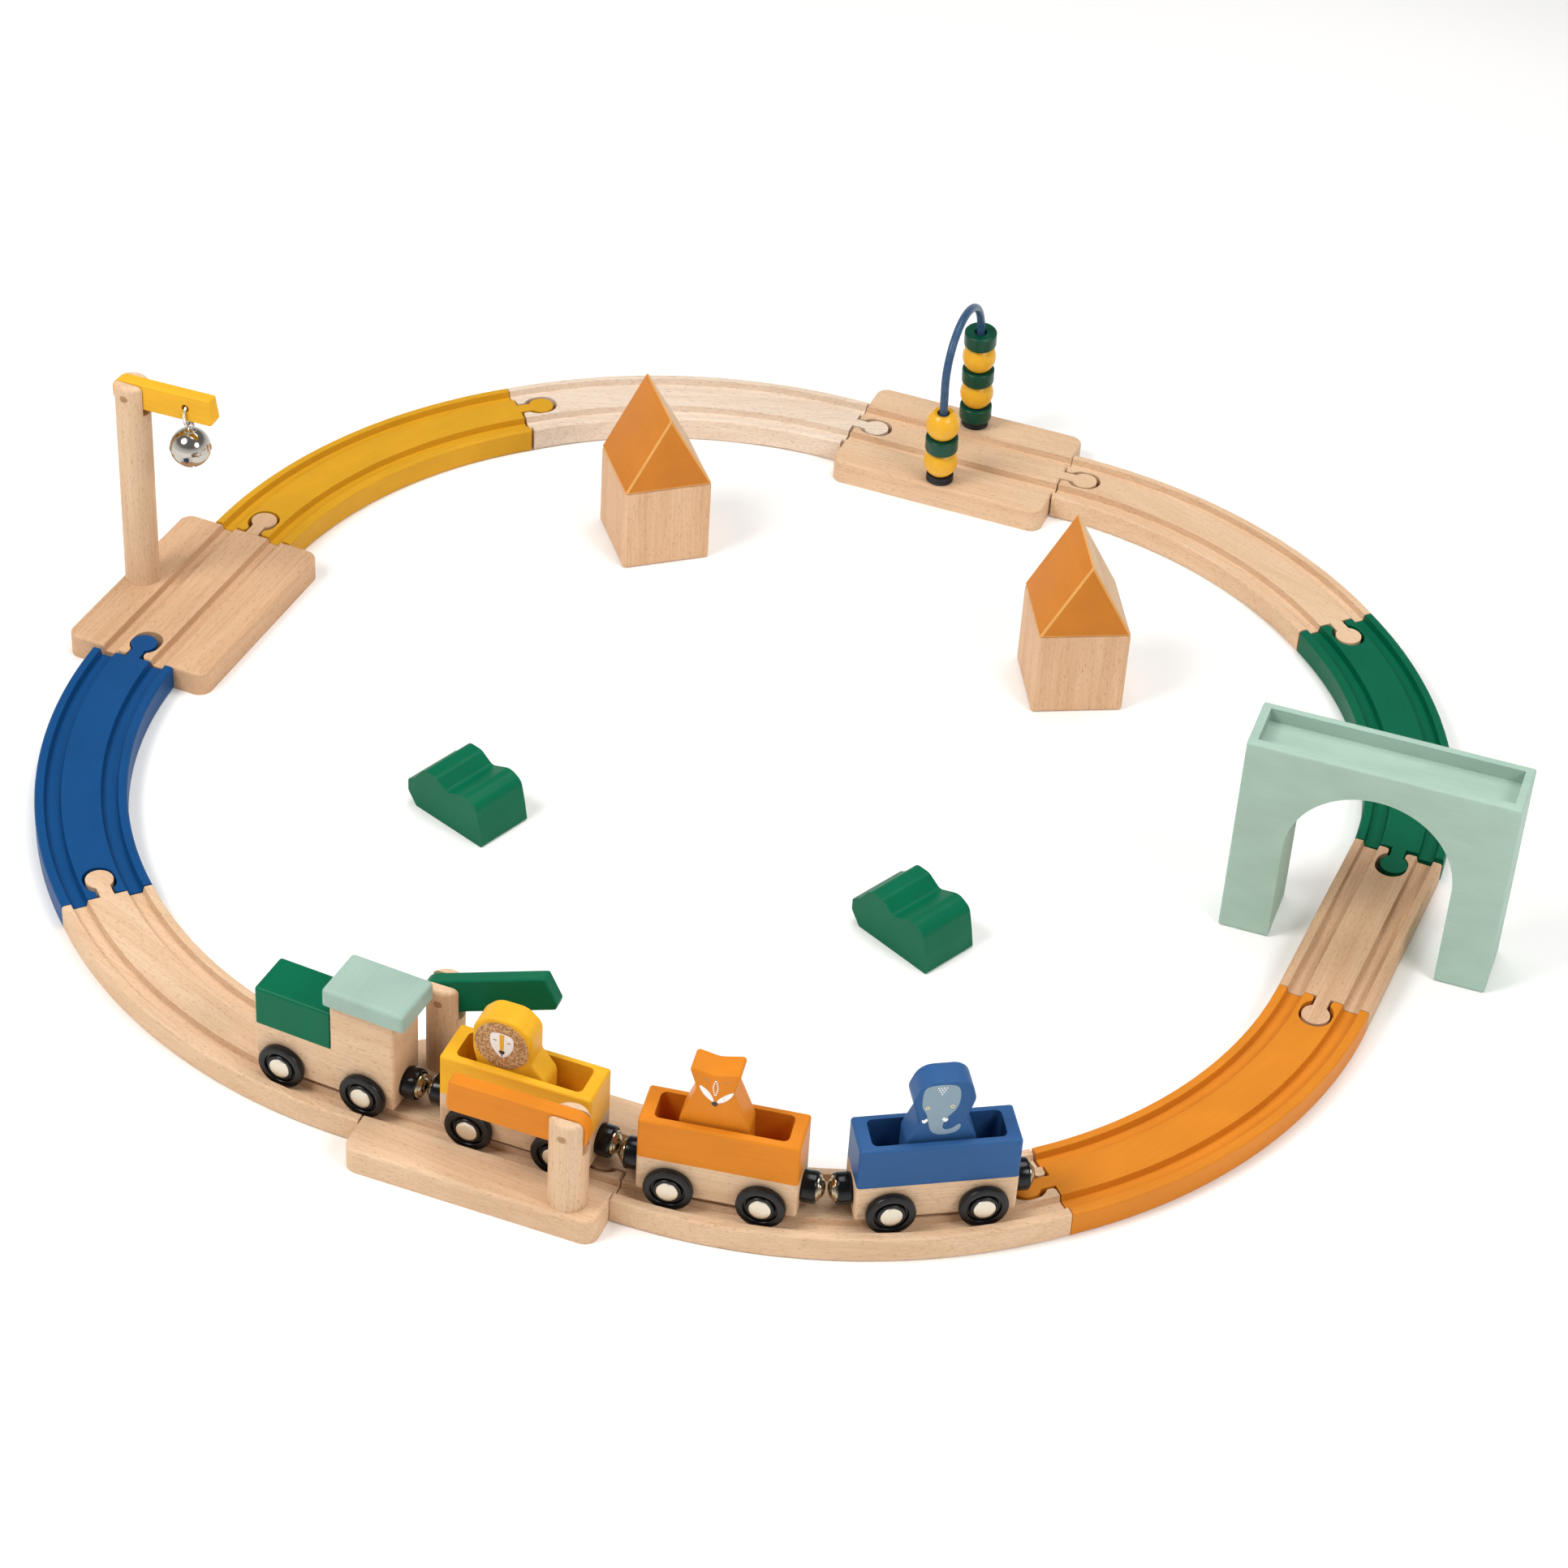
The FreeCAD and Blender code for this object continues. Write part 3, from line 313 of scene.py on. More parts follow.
@dataclass(frozen=True)
class SprayedPaint:
    """Water-based paint sprayed on beech: even and satin, with the fibres as a faint relief."""

    name: str
    colour: str
    grain: Vector
    seed: float = 0.0
    roughness: float = 0.42
    specular: float = 0.12             # thin matt lacquer, far less mirror than a gloss coat
    relief_mm: float = 0.035
    fibre_mm: Point = (26.0, 0.8)
    cloud_mm: float = 26.0             # slow change in how thick the paint lies

    def material(self) -> Material:
        """Builds the material."""
        made = Shading(self.name, Roughness=self.roughness, Specular_IOR_Level=self.specular)
        where = made.along_grain(self.grain, self.seed)
        fibres = made.streaks(where, *self.fibre_mm)
        clouds = made.streaks(where, self.cloud_mm, 0.6 * self.cloud_mm, detail=2.0)
        thick = made.ramp(clouds, (0.30, shade(self.colour, 0.91)), (0.70, shade(self.colour, 1.06)))
        thin = made.ramp(fibres, (0.32, shade(self.colour, 0.88)), (0.62, shade(self.colour, 1.02)))
        skin = made.noise(where, 0.9, 2.0)
        uneven = made.spread(skin, self.roughness - 0.05, self.roughness + 0.06)
        made.feed(Base_Color=made.blend(0.35, thick, thin), Roughness=uneven)
        height = made.node("ShaderNodeMath", {0: skin, 1: 0.4, 2: fibres}, operation="MULTIPLY_ADD")
        made.bump(height.outputs[0], 0.3, self.relief_mm)
        return made.material


@dataclass(frozen=True)
class MouldedPlastic:
    """Injection-moulded ABS or rubbery plastic: one even colour, a soft gloss and a faint mould texture."""

    name: str
    colour: str
    roughness: float
    specular: float = 0.3
    spark_mm: float = 0.35             # grit of the spark-eroded mould
    rub_mm: float = 3.0                # where hands have rubbed it

    def material(self) -> Material:
        """Builds the material."""
        made = Shading(self.name, Roughness=self.roughness, Specular_IOR_Level=self.specular)
        where = made.in_piece()
        grit = made.noise(where, 1 / (self.spark_mm * MM), 1.0)
        rubbed = made.noise(where, 1 / (self.rub_mm * MM), 3.0)
        tone = made.ramp(rubbed, (0.35, linear(self.colour)), (0.75, shade(self.colour, 1.5)))
        made.feed(Base_Color=tone, Roughness=made.spread(rubbed, self.roughness * 0.8, self.roughness * 1.35))
        made.bump(grit, 0.12, 0.01)
        return made.material


@dataclass(frozen=True)
class PlatedMetal:
    """Nickel- or chrome-plated steel: a bright mirror, broken up by fine tumbling marks."""

    name: str
    colour: str
    roughness: float
    mark_mm: float = 0.5

    def material(self) -> Material:
        """Builds the material."""
        made = Shading(self.name, Metallic=1.0, Roughness=self.roughness)
        marks = made.noise(made.in_piece(), 1 / (self.mark_mm * MM), 4.0)
        tone = made.ramp(marks, (0.30, shade(self.colour, 0.90)), (0.60, linear(self.colour)))
        made.feed(Base_Color=tone, Roughness=made.spread(marks, self.roughness * 0.7, self.roughness * 1.6))
        return made.material


@dataclass(frozen=True)
class PrintedInk:
    """Pad-printed ink: thin, matt and a little uneven, so that some of the paint under it shows."""

    name: str
    colour: str
    under: str
    speckle: str = ""
    speckle_mm: Point = (1.5, 0.42)    # a dash of the mane
    worn_mm: float = 0.9

    def material(self) -> Material:
        """Builds the material."""
        made = Shading(self.name, IOR=1.5, Roughness=0.55)
        where = made.along_grain(Vector((1.0, 0.2, 0.6)), 3.0)
        worn = made.streaks(where, self.worn_mm, self.worn_mm)
        ink = made.ramp(worn, (0.20, linear(self.under)), (0.34, linear(self.colour)))
        if self.speckle:
            other = made.along_grain(Vector((-0.6, 0.2, 1.0)), 5.0)
            for place in (where, other):
                dash = made.streaks(place, *self.speckle_mm, detail=0.0)
                ink = made.blend(made.ramp(dash, (0.56, BLACK), (0.62, WHITE)), ink, linear(self.speckle))
        made.feed(Base_Color=ink)
        return made.material


class Paint(Enum):
    """The set's paints."""

    YELLOW = "#E5AA28"
    TRACK_YELLOW = "#CD9620"
    BLUE = "#0E467A"
    WAGON_BLUE = "#2F5788"
    GREEN = "#006243"
    TRACK_GREEN = "#005C40"
    BEAD_GREEN = "#004330"
    MINT = "#A0B9AA"
    # the mint made darker for the engine roof alone: painted shade on its top
    SHADED_ROOF_MINT = "#98B0A3"
    ORANGE = "#D57F20"
    TRACK_ORANGE = "#CF7D20"
    ROOF_ORANGE = "#C87A2A"
    # a lighter copy of the roof orange for the roof's bevelled edges: a painted edge highlight
    ROOF_EDGE_HIGHLIGHT = "#D9A05A"


class Ink(Enum):
    """Inks of the printed faces."""

    WHITE = "#EEECEA"
    NOSE = "#33291F"
    MANE = "#9A6431"
    GREY = "#7F95A3"
    FAINT = "#A9855A"


BLACK_WHEEL = MouldedPlastic("black_abs_wheel", "#0D0D0E", 0.28)
BLACK_CUP = MouldedPlastic("black_abs_cup", "#0A0A0B", 0.16)
BLACK_RUBBER = MouldedPlastic("black_rubber_ferrule", "#17171A", 0.42)
BLUE_COATING = MouldedPlastic("blue_coated_wire", "#2C4866", 0.30)
CAP_METAL = PlatedMetal("tin_plated_cap", "#DDD5C4", 0.38)
MAGNET_METAL = PlatedMetal("nickel_plated_magnet", "#A89A80", 0.14)
BELL_METAL = PlatedMetal("chrome_plated_bell", "#BDB8AF", 0.10)
AXLE_METAL = PlatedMetal("steel_axle", "#9C9A96", 0.30)


# ---- shapes
def put_on(piece: Object, body: str, slot: str, *replaced: str) -> None:
    """Ties a piece to its body, and hides what it stands for.

    Args:
        piece: The finished piece, in place.
        body: The body that it moves with.
        slot: The record's finish slot; not used.
        *replaced: Design nodes that it stands for.
    """
    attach(piece, body)
    if replaced:
        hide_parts(*replaced)
    log.info("built %s", piece.name)


def to_object(
    name: str, shape: Shape, *finishes: Material, sharp_deg: float = 38.0
) -> Object:
    """Makes an object of a mesh whose lengths are in millimetres.

    Args:
        name: The object's name.
        shape: The mesh; it is freed.
        *finishes: Materials, by the faces' material index.
        sharp_deg: Edges that turn by more stay sharp.

    Returns:
        The object, at rest in the design's frame.
    """
    bmesh.ops.recalc_face_normals(shape, faces=shape.faces)
    bmesh.ops.scale(shape, vec=(MM, MM, MM), verts=shape.verts)
    mesh = bpy.data.meshes.new(name)
    shape.to_mesh(mesh)
    shape.free()
    for finish in finishes:
        mesh.materials.append(finish)
    mesh.shade_smooth()
    mesh.set_sharp_from_angle(angle=math.radians(sharp_deg))
    made = bpy.data.objects.new(name, mesh)
    bpy.context.scene.collection.objects.link(made)
    return made


def turn_on_lathe(shape: Shape, profile: Sequence[Point], place: Matrix, steps: int = 64) -> None:
    """Adds a turned solid.

    Args:
        shape: The mesh that gets it.
        profile: Radius and height of each ring, from one end to the other.
        place: Puts the solid's own Z axis and origin in the set.
        steps: Faces round the axis.
    """
    rings: list[list[bmesh.types.BMVert]] = []
    for radius, height in profile:
        angles = round_angles(1 if radius < 1e-6 else steps)
        points = [Vector((radius * math.cos(a), radius * math.sin(a), height)) for a in angles]
        rings.append([shape.verts.new(place @ point) for point in points])
    for low, high in zip(rings, rings[1:]):
        for i in range(steps):
            j = (i + 1) % steps
            corners = [low[i % len(low)], low[j % len(low)], high[j % len(high)], high[i % len(high)]]
            distinct = list(dict.fromkeys(corners))
            if len(distinct) > 2:
                shape.faces.new(distinct)


def sweep(
    shape: Shape, path: Sequence[Vector], radius: float, steps: int, loop: bool = False
) -> None:
    """Adds a round tube along a path.

    Args:
        shape: The mesh that gets it.
        path: Points of the middle line, in millimetres.
        radius: The tube's radius.
        steps: Faces round the tube.
        loop: True if the path closes.
    """
    count = len(path)
    side = Vector((0.3, 0.9, 0.1)).normalized()
    rings = []
    for i, here in enumerate(path):
        before = path[i - 1] if loop or i else here
        after = path[(i + 1) % count] if loop or i < count - 1 else here
        ahead = (after - before).normalized()
        side = (side - side.dot(ahead) * ahead).normalized()
        other = ahead.cross(side)
        points = [here + radius * (math.cos(a) * side + math.sin(a) * other) for a in round_angles(steps)]
        rings.append([shape.verts.new(point) for point in points])
    pairs = list(zip(rings, rings[1:])) + ([(rings[-1], rings[0])] if loop else [])
    for low, high in pairs:
        for k in range(steps):
            j = (k + 1) % steps
            shape.faces.new([low[k], low[j], high[j], high[k]])
    if not loop:
        shape.faces.new(rings[0])
        shape.faces.new(rings[-1])


def plate(
    shape: Shape, outline: Sequence[Point], place: Matrix, thick: float, finish: int = 0
) -> None:
    """Adds a thin flat plate.

    Args:
        shape: The mesh that gets it.
        outline: Its outline in the place's X and Y.
        place: Puts the plate in the set; it grows along Z.
        thick: Its thickness.
        finish: Material index of its faces.
    """
    low = [shape.verts.new(place @ Vector((a, b, 0.0))) for a, b in outline]
    high = [shape.verts.new(place @ Vector((a, b, thick))) for a, b in outline]
    faces = [shape.faces.new(high), shape.faces.new(list(reversed(low)))]
    for i in range(len(outline)):
        j = (i + 1) % len(outline)
        faces.append(shape.faces.new([low[i], low[j], high[j], high[i]]))
    for face in faces:
        face.material_index = finish


def oval(x: float, y: float, half_x: float, half_y: float, steps: int) -> list[Point]:
    """Outline of an oval.

    Args:
        x: Middle.
        y: Middle.
        half_x: Half its width.
        half_y: Half its height.
        steps: Points round it.

    Returns:
        The outline's points.
    """
    return [(x + half_x * math.cos(a), y + half_y * math.sin(a)) for a in round_angles(steps)]


def smooth_outline(corners: Sequence[Point], rounds: int = 3) -> list[Point]:
    """Rounds an outline by cutting its corners again and again.

    Args:
        corners: The rough outline.
        rounds: How many times every corner is cut.

    Returns:
        The rounded outline.
    """
    points = list(corners)
    for _ in range(rounds):
        cut = []
        for i, (ax, ay) in enumerate(points):
            bx, by = points[(i + 1) % len(points)]
            cut.append((0.75 * ax + 0.25 * bx, 0.75 * ay + 0.25 * by))
            cut.append((0.25 * ax + 0.75 * bx, 0.25 * ay + 0.75 * by))
        points = cut
    return points


# ---- the design's frame
@dataclass
class Design:
    """The design's nodes and joints, with a few readings of them."""

    nodes: dict[str, Object]
    joints: dict[str, dict[str, Any]]

    @classmethod
    def load(cls) -> Design:
        """Imports the design."""
        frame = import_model()
        return cls(frame["nodes"], {joint["name"]: joint for joint in frame["joints"]})

    def spot(self, joint: str) -> Vector:
        """Where a joint is, in millimetres."""
        return Vector(self.joints[joint]["pos_m"]) / MM

    def axis(self, joint: str) -> Vector:
        """Which way a joint points."""
        return Vector(self.joints[joint]["axis"]).normalized()

    def middle(self, node: str) -> Vector:
        """Middle of a node's box, in millimetres."""
        low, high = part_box(node)
        return (Vector(low) + Vector(high)) / 2 / MM

    def long_axis(self, node: str) -> Vector:
        """The level direction in which a node is longest, from how its corners spread."""
        points = [corner.co for corner in self.nodes[node].data.vertices]
        mx = sum(p.x for p in points) / len(points)
        my = sum(p.y for p in points) / len(points)
        xx = sum((p.x - mx) ** 2 for p in points)
        yy = sum((p.y - my) ** 2 for p in points)
        xy = sum((p.x - mx) * (p.y - my) for p in points)
        angle = 0.5 * math.atan2(2 * xy, xx - yy)
        return Vector((math.cos(angle), math.sin(angle), 0.0))

    def vehicle(self, name: str) -> Matrix:
        """A vehicle's own place: origin between its axles on the floor, X forward, Y to its left."""
        front, rear = self.spot(f"{name}_front_wheels_spin"), self.spot(f"{name}_rear_wheels_spin")
        ahead = (front - rear).normalized()
        origin = (front + rear) / 2
        origin.z = 0.0
        return place_of(ahead, UP.cross(ahead), UP, origin)

    def dress(self, node: str, finish: Material) -> None:
        """Gives a node that stays its finish."""
        target = self.nodes[node].data
        target.materials.clear()
        target.materials.append(finish)
        log.info("dressed %s with %s", node, finish.name)

    def spray(
        self, node: str, paint: Paint, grain: Vector, seed: float, roughness: float, **more: Any
    ) -> None:
        """Gives a node that stays a coat of paint."""
        coat = SprayedPaint(f"sprayed_{node}", paint.value, grain, seed, roughness, **more)
        self.dress(node, coat.material())

    def sand(self, node: str, grain: Vector, seed: float, *tones: str) -> None:
        """Leaves a node that stays in bare beech."""
        self.dress(node, SandedBeech(f"beech_{node}", grain, seed, *tones).material())


# ---- track
PAINTED_TRACK = {
    "blue_curve": Paint.BLUE,
    "yellow_curve": Paint.TRACK_YELLOW,
    "green_curve": Paint.TRACK_GREEN,
    "orange_curve": Paint.TRACK_ORANGE,
}
BARE_TRACK: dict[str, tuple[str, ...]] = {      # with the board's own tones, if it isn't of the common ones
    "crossing_platform": (),
    "front_left_curve": (),
    "bell_platform": ("#D0A984", "#C29771"),
    "back_left_curve": ("#E2CFBC", "#D6BEA5"),
    "bead_platform": (),
    "back_right_curve": (),
    "plain_straight": ("#CDA886", "#BD936E"),
    "front_right_curve": (),
}


def dress_track(design: Design) -> None:
    """Gives each of the twelve pieces its paint or its own board of beech."""
    for name, paint in PAINTED_TRACK.items():
        design.spray(name, paint, design.long_axis(name), 1.0, SprayedPaint.roughness)
    for i, (name, tones) in enumerate(BARE_TRACK.items()):
        design.sand(name, design.long_axis(name), 1.7 * i, *tones)


# ---- signals
@dataclass
class Signals:
    """Bell signal and crossing gates: round posts, painted arms, the link and the jingle bell."""

    design: Design
    pin_radius: float = 2.0
    post_radius: float = 8.0
    bell_radius: float = 9.6
    bell_wall: float = 0.8
    slit: float = 1.5
    eye_radius: float = 1.9
    wire_radius: float = 0.8
    eye_drop: float = 10.55            # from the arm's hole to the middle of the bell's eye
    pin_play: float = 0.12
    pin_sunk: float = 0.55             # how far a pin's end starts below the post's skin
    seam_proud: float = 0.26
    seam_half: float = 0.42
    slit_turns: Point = (45.0, 135.0)
    slit_reach: float = 0.66           # shares of the bell's radius: half a slit, and how deep it goes
    slit_low: float = -1.2
    slit_deep: float = 0.8
    slit_end: float = 1.25             # radius of the hole at a slit's end
    ball_radius: float = 2.6
    ball_lift: float = 3.5             # the loose ball's middle over the shell
    link_half: float = 3.6             # half of the link's opening
    link_rise: float = 0.8             # how far the link's top stands over the hole
    link_wire: float = 0.62
    strand_wire: float = 0.36
    strand_turns: float = 5.5
    strand_spread: float = 0.42

    def build(self) -> None:
        """Builds and dresses everything."""
        self.dress_posts()
        self.dress_arms()
        self.build_pins()
        self.build_bell()
        self.build_link()

    def dress_posts(self) -> None:
        """Posts are turned from dowel, so their fibres stand upright."""
        for i, name in enumerate(("bell_post", "gate_posts")):
            self.design.sand(name, UP, 20.0 + i)

    def dress_arms(self) -> None:
        """Arms are sprayed, with their fibres along them."""
        paints = {"bell_arm": Paint.YELLOW, "near_gate_arm": Paint.ORANGE, "far_gate_arm": Paint.GREEN}
        for i, (name, paint) in enumerate(paints.items()):
            self.design.spray(name, paint, self.design.long_axis(name), 4.0 + i, 0.36)

    def build_pins(self) -> None:
        """Dowel ends that fill the pins' holes in the posts."""
        grain = Vector((0.2, 1.0, 0.1))
        finish = SandedBeech("beech_pin_ends", grain, 31.0, "#BC926B", "#9A7350").material()
        owners = {
            "bell_arm_raise": ("bell_platform", "bell_pin_ends"),
            "near_gate_raise": ("crossing_platform", "near_gate_pin_ends"),
            "far_gate_raise": ("crossing_platform", "far_gate_pin_ends"),
        }
        for joint, (body, name) in owners.items():
            shape = bmesh.new()
            for side in (-1, 1):
                out = self.design.axis(joint) * side
                start = self.design.spot(joint) + out * (self.post_radius - self.pin_sunk)
                r = self.pin_radius - self.pin_play
                profile = [(0.0, 0.0), (r, 0.0), (r, 0.46), (0.85 * r, 0.56), (0.0, 0.58)]
                turn_on_lathe(shape, profile, frame_at(start, out), 32)
            put_on(to_object(name, shape, finish), body, "beech")

    def bell_place(self) -> Matrix:
        """The bell's own place: origin in its middle, X along the arm, Y along the arm's pin."""
        hole = self.design.spot("bell_swing")
        across = self.design.axis("bell_swing")
        drop = self.eye_drop + self.eye_radius + self.wire_radius / 2 + self.bell_radius
        return place_of(across.cross(UP).normalized(), across, UP, hole - UP * drop)

    def build_bell(self) -> None:
        """Pressed shell of two cups with a seam, crossed slits and a loose ball, and its eye."""
        place = self.bell_place()
        r = self.bell_radius
        outer: list[Point] = [(0.0, -r)]
        for a in turns(-math.pi / 2, math.pi / 2, 40)[1:-1]:
            out = r - self.seam_proud * (1 - math.exp(-((r * math.sin(a)) / self.seam_half) ** 2))
            outer.append((out * math.cos(a), out * math.sin(a)))
        outer.append((0.0, r - 0.1))
        kept = 1 - self.bell_wall / r
        inner = [(x * kept, y * kept) for x, y in reversed(outer)]
        shape = bmesh.new()
        turn_on_lathe(shape, outer, place, 96)
        turn_on_lathe(shape, inner, place, 96)
        shell = to_object("bell_shell", shape, BELL_METAL.material(), sharp_deg=50.0)
        half, deep = self.slit_reach * r, self.slit_deep * r
        lines = [place @ Matrix.Rotation(math.radians(turn), 4, "Z") for turn in self.slit_turns]
        cutter = bmesh.new()
        for line in lines:
            for x in (-half, half):
                end = line @ Matrix.Translation((x, 0.0, self.slit_low * r))
                drill = [(0.0, 0.0), (self.slit_end, 0.0), (self.slit_end, deep), (0.0, deep)]
                turn_on_lathe(cutter, drill, end, 24)
        self.cut(shell, to_object("bell_hole_tool", cutter))
        y = self.slit / 2
        for line in lines:
            cutter = bmesh.new()
            low = line @ Matrix.Translation((0.0, 0.0, self.slit_low * r))
            plate(cutter, [(-half, -y), (half, -y), (half, y), (-half, y)], low, deep)
            self.cut(shell, to_object("bell_slit_tool", cutter))
        put_on(shell, "bell", "bell_metal", "jingle_bell")
        rest = bmesh.new()
        eye = place @ Vector((0.0, 0.0, r + self.wire_radius / 2 + self.eye_radius))
        across, up = place.to_3x3() @ ALONG_X, place.to_3x3() @ UP
        ring = [eye + self.eye_radius * (math.cos(a) * across + math.sin(a) * up) for a in round_angles(32)]
        sweep(rest, ring, self.wire_radius, 14, loop=True)
        collar = [(2.9, -0.75), (2.75, -0.3), (2.0, 0.15), (1.3, 0.5), (0.9, 0.9), (0.0, 0.9)]
        turn_on_lathe(rest, collar, place @ Matrix.Translation((0.0, 0.0, r)), 32)
        b = self.ball_radius
        ball = [(b * math.cos(a), b * math.sin(a)) for a in turns(-math.pi / 2, math.pi / 2, 16)]
        low = self.bell_wall + self.ball_lift - r
        turn_on_lathe(rest, ball, place @ Matrix.Translation((0.0, 0.0, low)), 24)
        put_on(to_object("bell_eye_and_ball", rest, BELL_METAL.material()), "bell", "bell_metal")

    def cut(self, target: Object, tool: Object) -> None:
        """Cuts a tool's shape out of a piece and removes the tool."""
        step = target.modifiers.new("cut", "BOOLEAN")
        step.object, step.operation, step.solver = tool, "DIFFERENCE", "EXACT"
        graph = bpy.context.evaluated_depsgraph_get()
        result = bpy.data.meshes.new_from_object(target.evaluated_get(graph))
        target.modifiers.clear()
        target.data = result
        bpy.data.objects.remove(tool)

    def build_link(self) -> None:
        """The bright wire that goes through the arm's hole, with its two ends wound round each other."""
        place = self.bell_place()
        hole = self.design.spot("bell_swing")
        across = self.design.axis("bell_swing")
        shape = bmesh.new()
        bend = self.link_half + self.wire_radius
        top = hole + UP * (self.link_rise - bend)
        drop = self.eye_drop - self.eye_radius + self.link_rise - 0.15
        low = hole - UP * (drop - self.link_half)
        path = [
            middle + bend * (math.cos(a) * across + math.sin(a) * UP)
            for middle, first in ((top, 0.0), (low, math.pi))
            for a in turns(first, first + math.pi, 16)
        ]
        sweep(shape, path, self.link_wire, 14, loop=True)
        strands = bmesh.new()
        x = place.to_3x3() @ ALONG_X
        for phase in (0.0, math.pi):
            for side in (-1, 1):
                coil = []
                for t in turns(0.0, 1.0, 48):
                    a = phase + self.strand_turns * FULL_TURN * t
                    base = top + across * (bend * side) - UP * (top - low).z * t
                    coil.append(base + self.strand_spread * (math.cos(a) * x + math.sin(a) * across))
                sweep(strands, coil, self.strand_wire, 8)
        finish = PlatedMetal("bright_wire_link", "#E4E2DE", 0.22).material()
        put_on(to_object("bell_link", shape, finish), "bell", "link_wire", "bell_hanger")
        put_on(to_object("bell_link_winding", strands, finish), "bell", "link_wire")


# ---- beads
@dataclass
class BeadRun:
    """A blue wire bent over the track, with black ferrules and turned beads."""

    design: Design
    wire_radius: float = 2.0
    feet: Point = (-28.9, 24.8)
    deck: float = 12.0
    board_half: float = 54.0
    foot: float = 7.5
    lean_deg: float = 5.0
    apex: float = 83.0
    near_bend: float = 24.0
    ferrule_radius: float = 6.7
    ferrule_height: float = 4.0
    ball: Point = (8.3, 14.2)
    disc: Point = (8.0, 8.0)
    hole: float = 3.1
    ball_share: float = 0.93           # of the arc that a ball's height spans
    disc_edge: float = 1.0
    near: tuple[str, ...] = ("near_ball_1", "near_disc_2", "near_ball_3")
    far: tuple[str, ...] = ("far_disc_1", "far_ball_2", "far_disc_3", "far_ball_4", "far_disc_5")

    def build(self) -> None:
        """Builds and dresses everything."""
        self.build_wire()
        for name in self.near + self.far:
            self.build_bead(name)

    def middle(self) -> Vector:
        """The platform's middle at the wire, on the floor."""
        low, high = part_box("bead_platform")
        return Vector((low[0] / MM + self.board_half, (low[1] + high[1]) / 2 / MM, 0.0))

    def point(self, foot: float, distance: float) -> Vector:
        """A point on a leg, a distance along it from the platform's top."""
        a = math.radians(self.lean_deg)
        return Vector((0.0, foot - math.sin(a) * distance, self.deck + math.cos(a) * distance))

    def wire_path(self) -> list[Vector]:
        """Middle line of the wire, about the platform's middle."""
        a = math.radians(self.lean_deg)
        s, c = math.sin(a), math.cos(a)
        near = (self.apex - self.near_bend * (1 + s)) / c
        top_y = self.feet[0] - near * s + self.near_bend * c
        span = self.feet[1] - top_y
        far_bend = (span * c - self.apex * s) / (c * c - s * (1 - s))
        far = (self.apex - far_bend * (1 - s)) / c
        side = Vector((0.0, c, s))
        near_end, far_end = self.point(self.feet[0], near), self.point(self.feet[1], far)
        near_mid, far_mid = near_end + side * self.near_bend, far_end - side * far_bend
        path = [self.point(self.feet[0], -self.foot), self.point(self.feet[0], 0.0), near_end]
        for turn in turns(math.pi + a, math.pi / 2, 24)[1:]:
            path.append(near_mid + self.near_bend * Vector((0.0, math.cos(turn), math.sin(turn))))
        for turn in turns(math.pi / 2, a, 28)[1:]:
            path.append(far_mid + far_bend * Vector((0.0, math.cos(turn), math.sin(turn))))
        path += [self.point(self.feet[1], 0.0), self.point(self.feet[1], -self.foot)]
        return path

    def build_wire(self) -> None:
        """The wire and the two ferrules at its feet."""
        middle = self.middle()
        shape = bmesh.new()
        sweep(shape, [middle + p for p in self.wire_path()], self.wire_radius, 28)
        wire = to_object("bent_wire", shape, BLUE_COATING.material())
        put_on(wire, "bead_platform", "steel_wire", "bead_wire")
        rings = bmesh.new()
        r, h = self.ferrule_radius, self.ferrule_height
        profile = [
            (self.wire_radius, 0.0), (r - 0.5, 0.0), (r - 0.05, 0.35), (r, 0.9), (r - 0.1, 1.7),
            (r - 0.45, 2.0), (r - 0.1, 2.3), (r, 2.9), (r - 0.15, 3.6), (r - 0.7, h),
            (self.wire_radius + 0.5, h), (self.wire_radius, h - 0.3),
        ]
        for foot in self.feet:
            turn_on_lathe(rings, profile, Matrix.Translation(middle + Vector((0.0, foot, self.deck))), 56)
        put_on(to_object("wire_ferrules", rings, BLACK_RUBBER.material()), "bead_platform", "steel_wire")

    def build_bead(self, name: str) -> None:
        """One turned and painted bead.

        Args:
            name: The design's node, whose place the bead takes.
        """
        is_ball = "ball" in name
        radius, height = self.ball if is_ball else self.disc
        half = height / 2
        profile: list[Point] = [(self.hole, -half + 0.4)]
        if is_ball:
            limit = math.asin(min(half / radius, 1.0)) * self.ball_share
            for a in turns(-limit, limit, 24):
                profile.append((radius * math.cos(a), half * math.sin(a) / math.sin(limit)))
        else:
            edge = self.disc_edge
            out, up = radius - edge, half - edge
            quarter = turns(0.0, math.pi / 2, 6)
            profile += [(out + edge * math.sin(a), -up - edge * math.cos(a)) for a in quarter]
            profile += [(out + edge * math.sin(a), up + edge * math.cos(a)) for a in reversed(quarter)]
        profile += [(self.hole, half - 0.4), (self.hole, -half + 0.4)]
        axis = self.design.axis(f"{name}_slide")
        place = frame_at(self.design.middle(name), axis)
        shape = bmesh.new()
        turn_on_lathe(shape, profile, place, 64)
        bmesh.ops.remove_doubles(shape, verts=shape.verts, dist=1e-4)
        paint = Paint.YELLOW if is_ball else Paint.BEAD_GREEN
        gloss = 0.24 if is_ball else 0.30
        finish = SprayedPaint(f"sprayed_{name}", paint.value, axis, 7.0, gloss, 0.3, 0.015)
        piece = to_object(f"{name}_bead", shape, finish.material(), sharp_deg=50.0)
        put_on(piece, name, "yellow_paint" if is_ball else "green_paint", name)


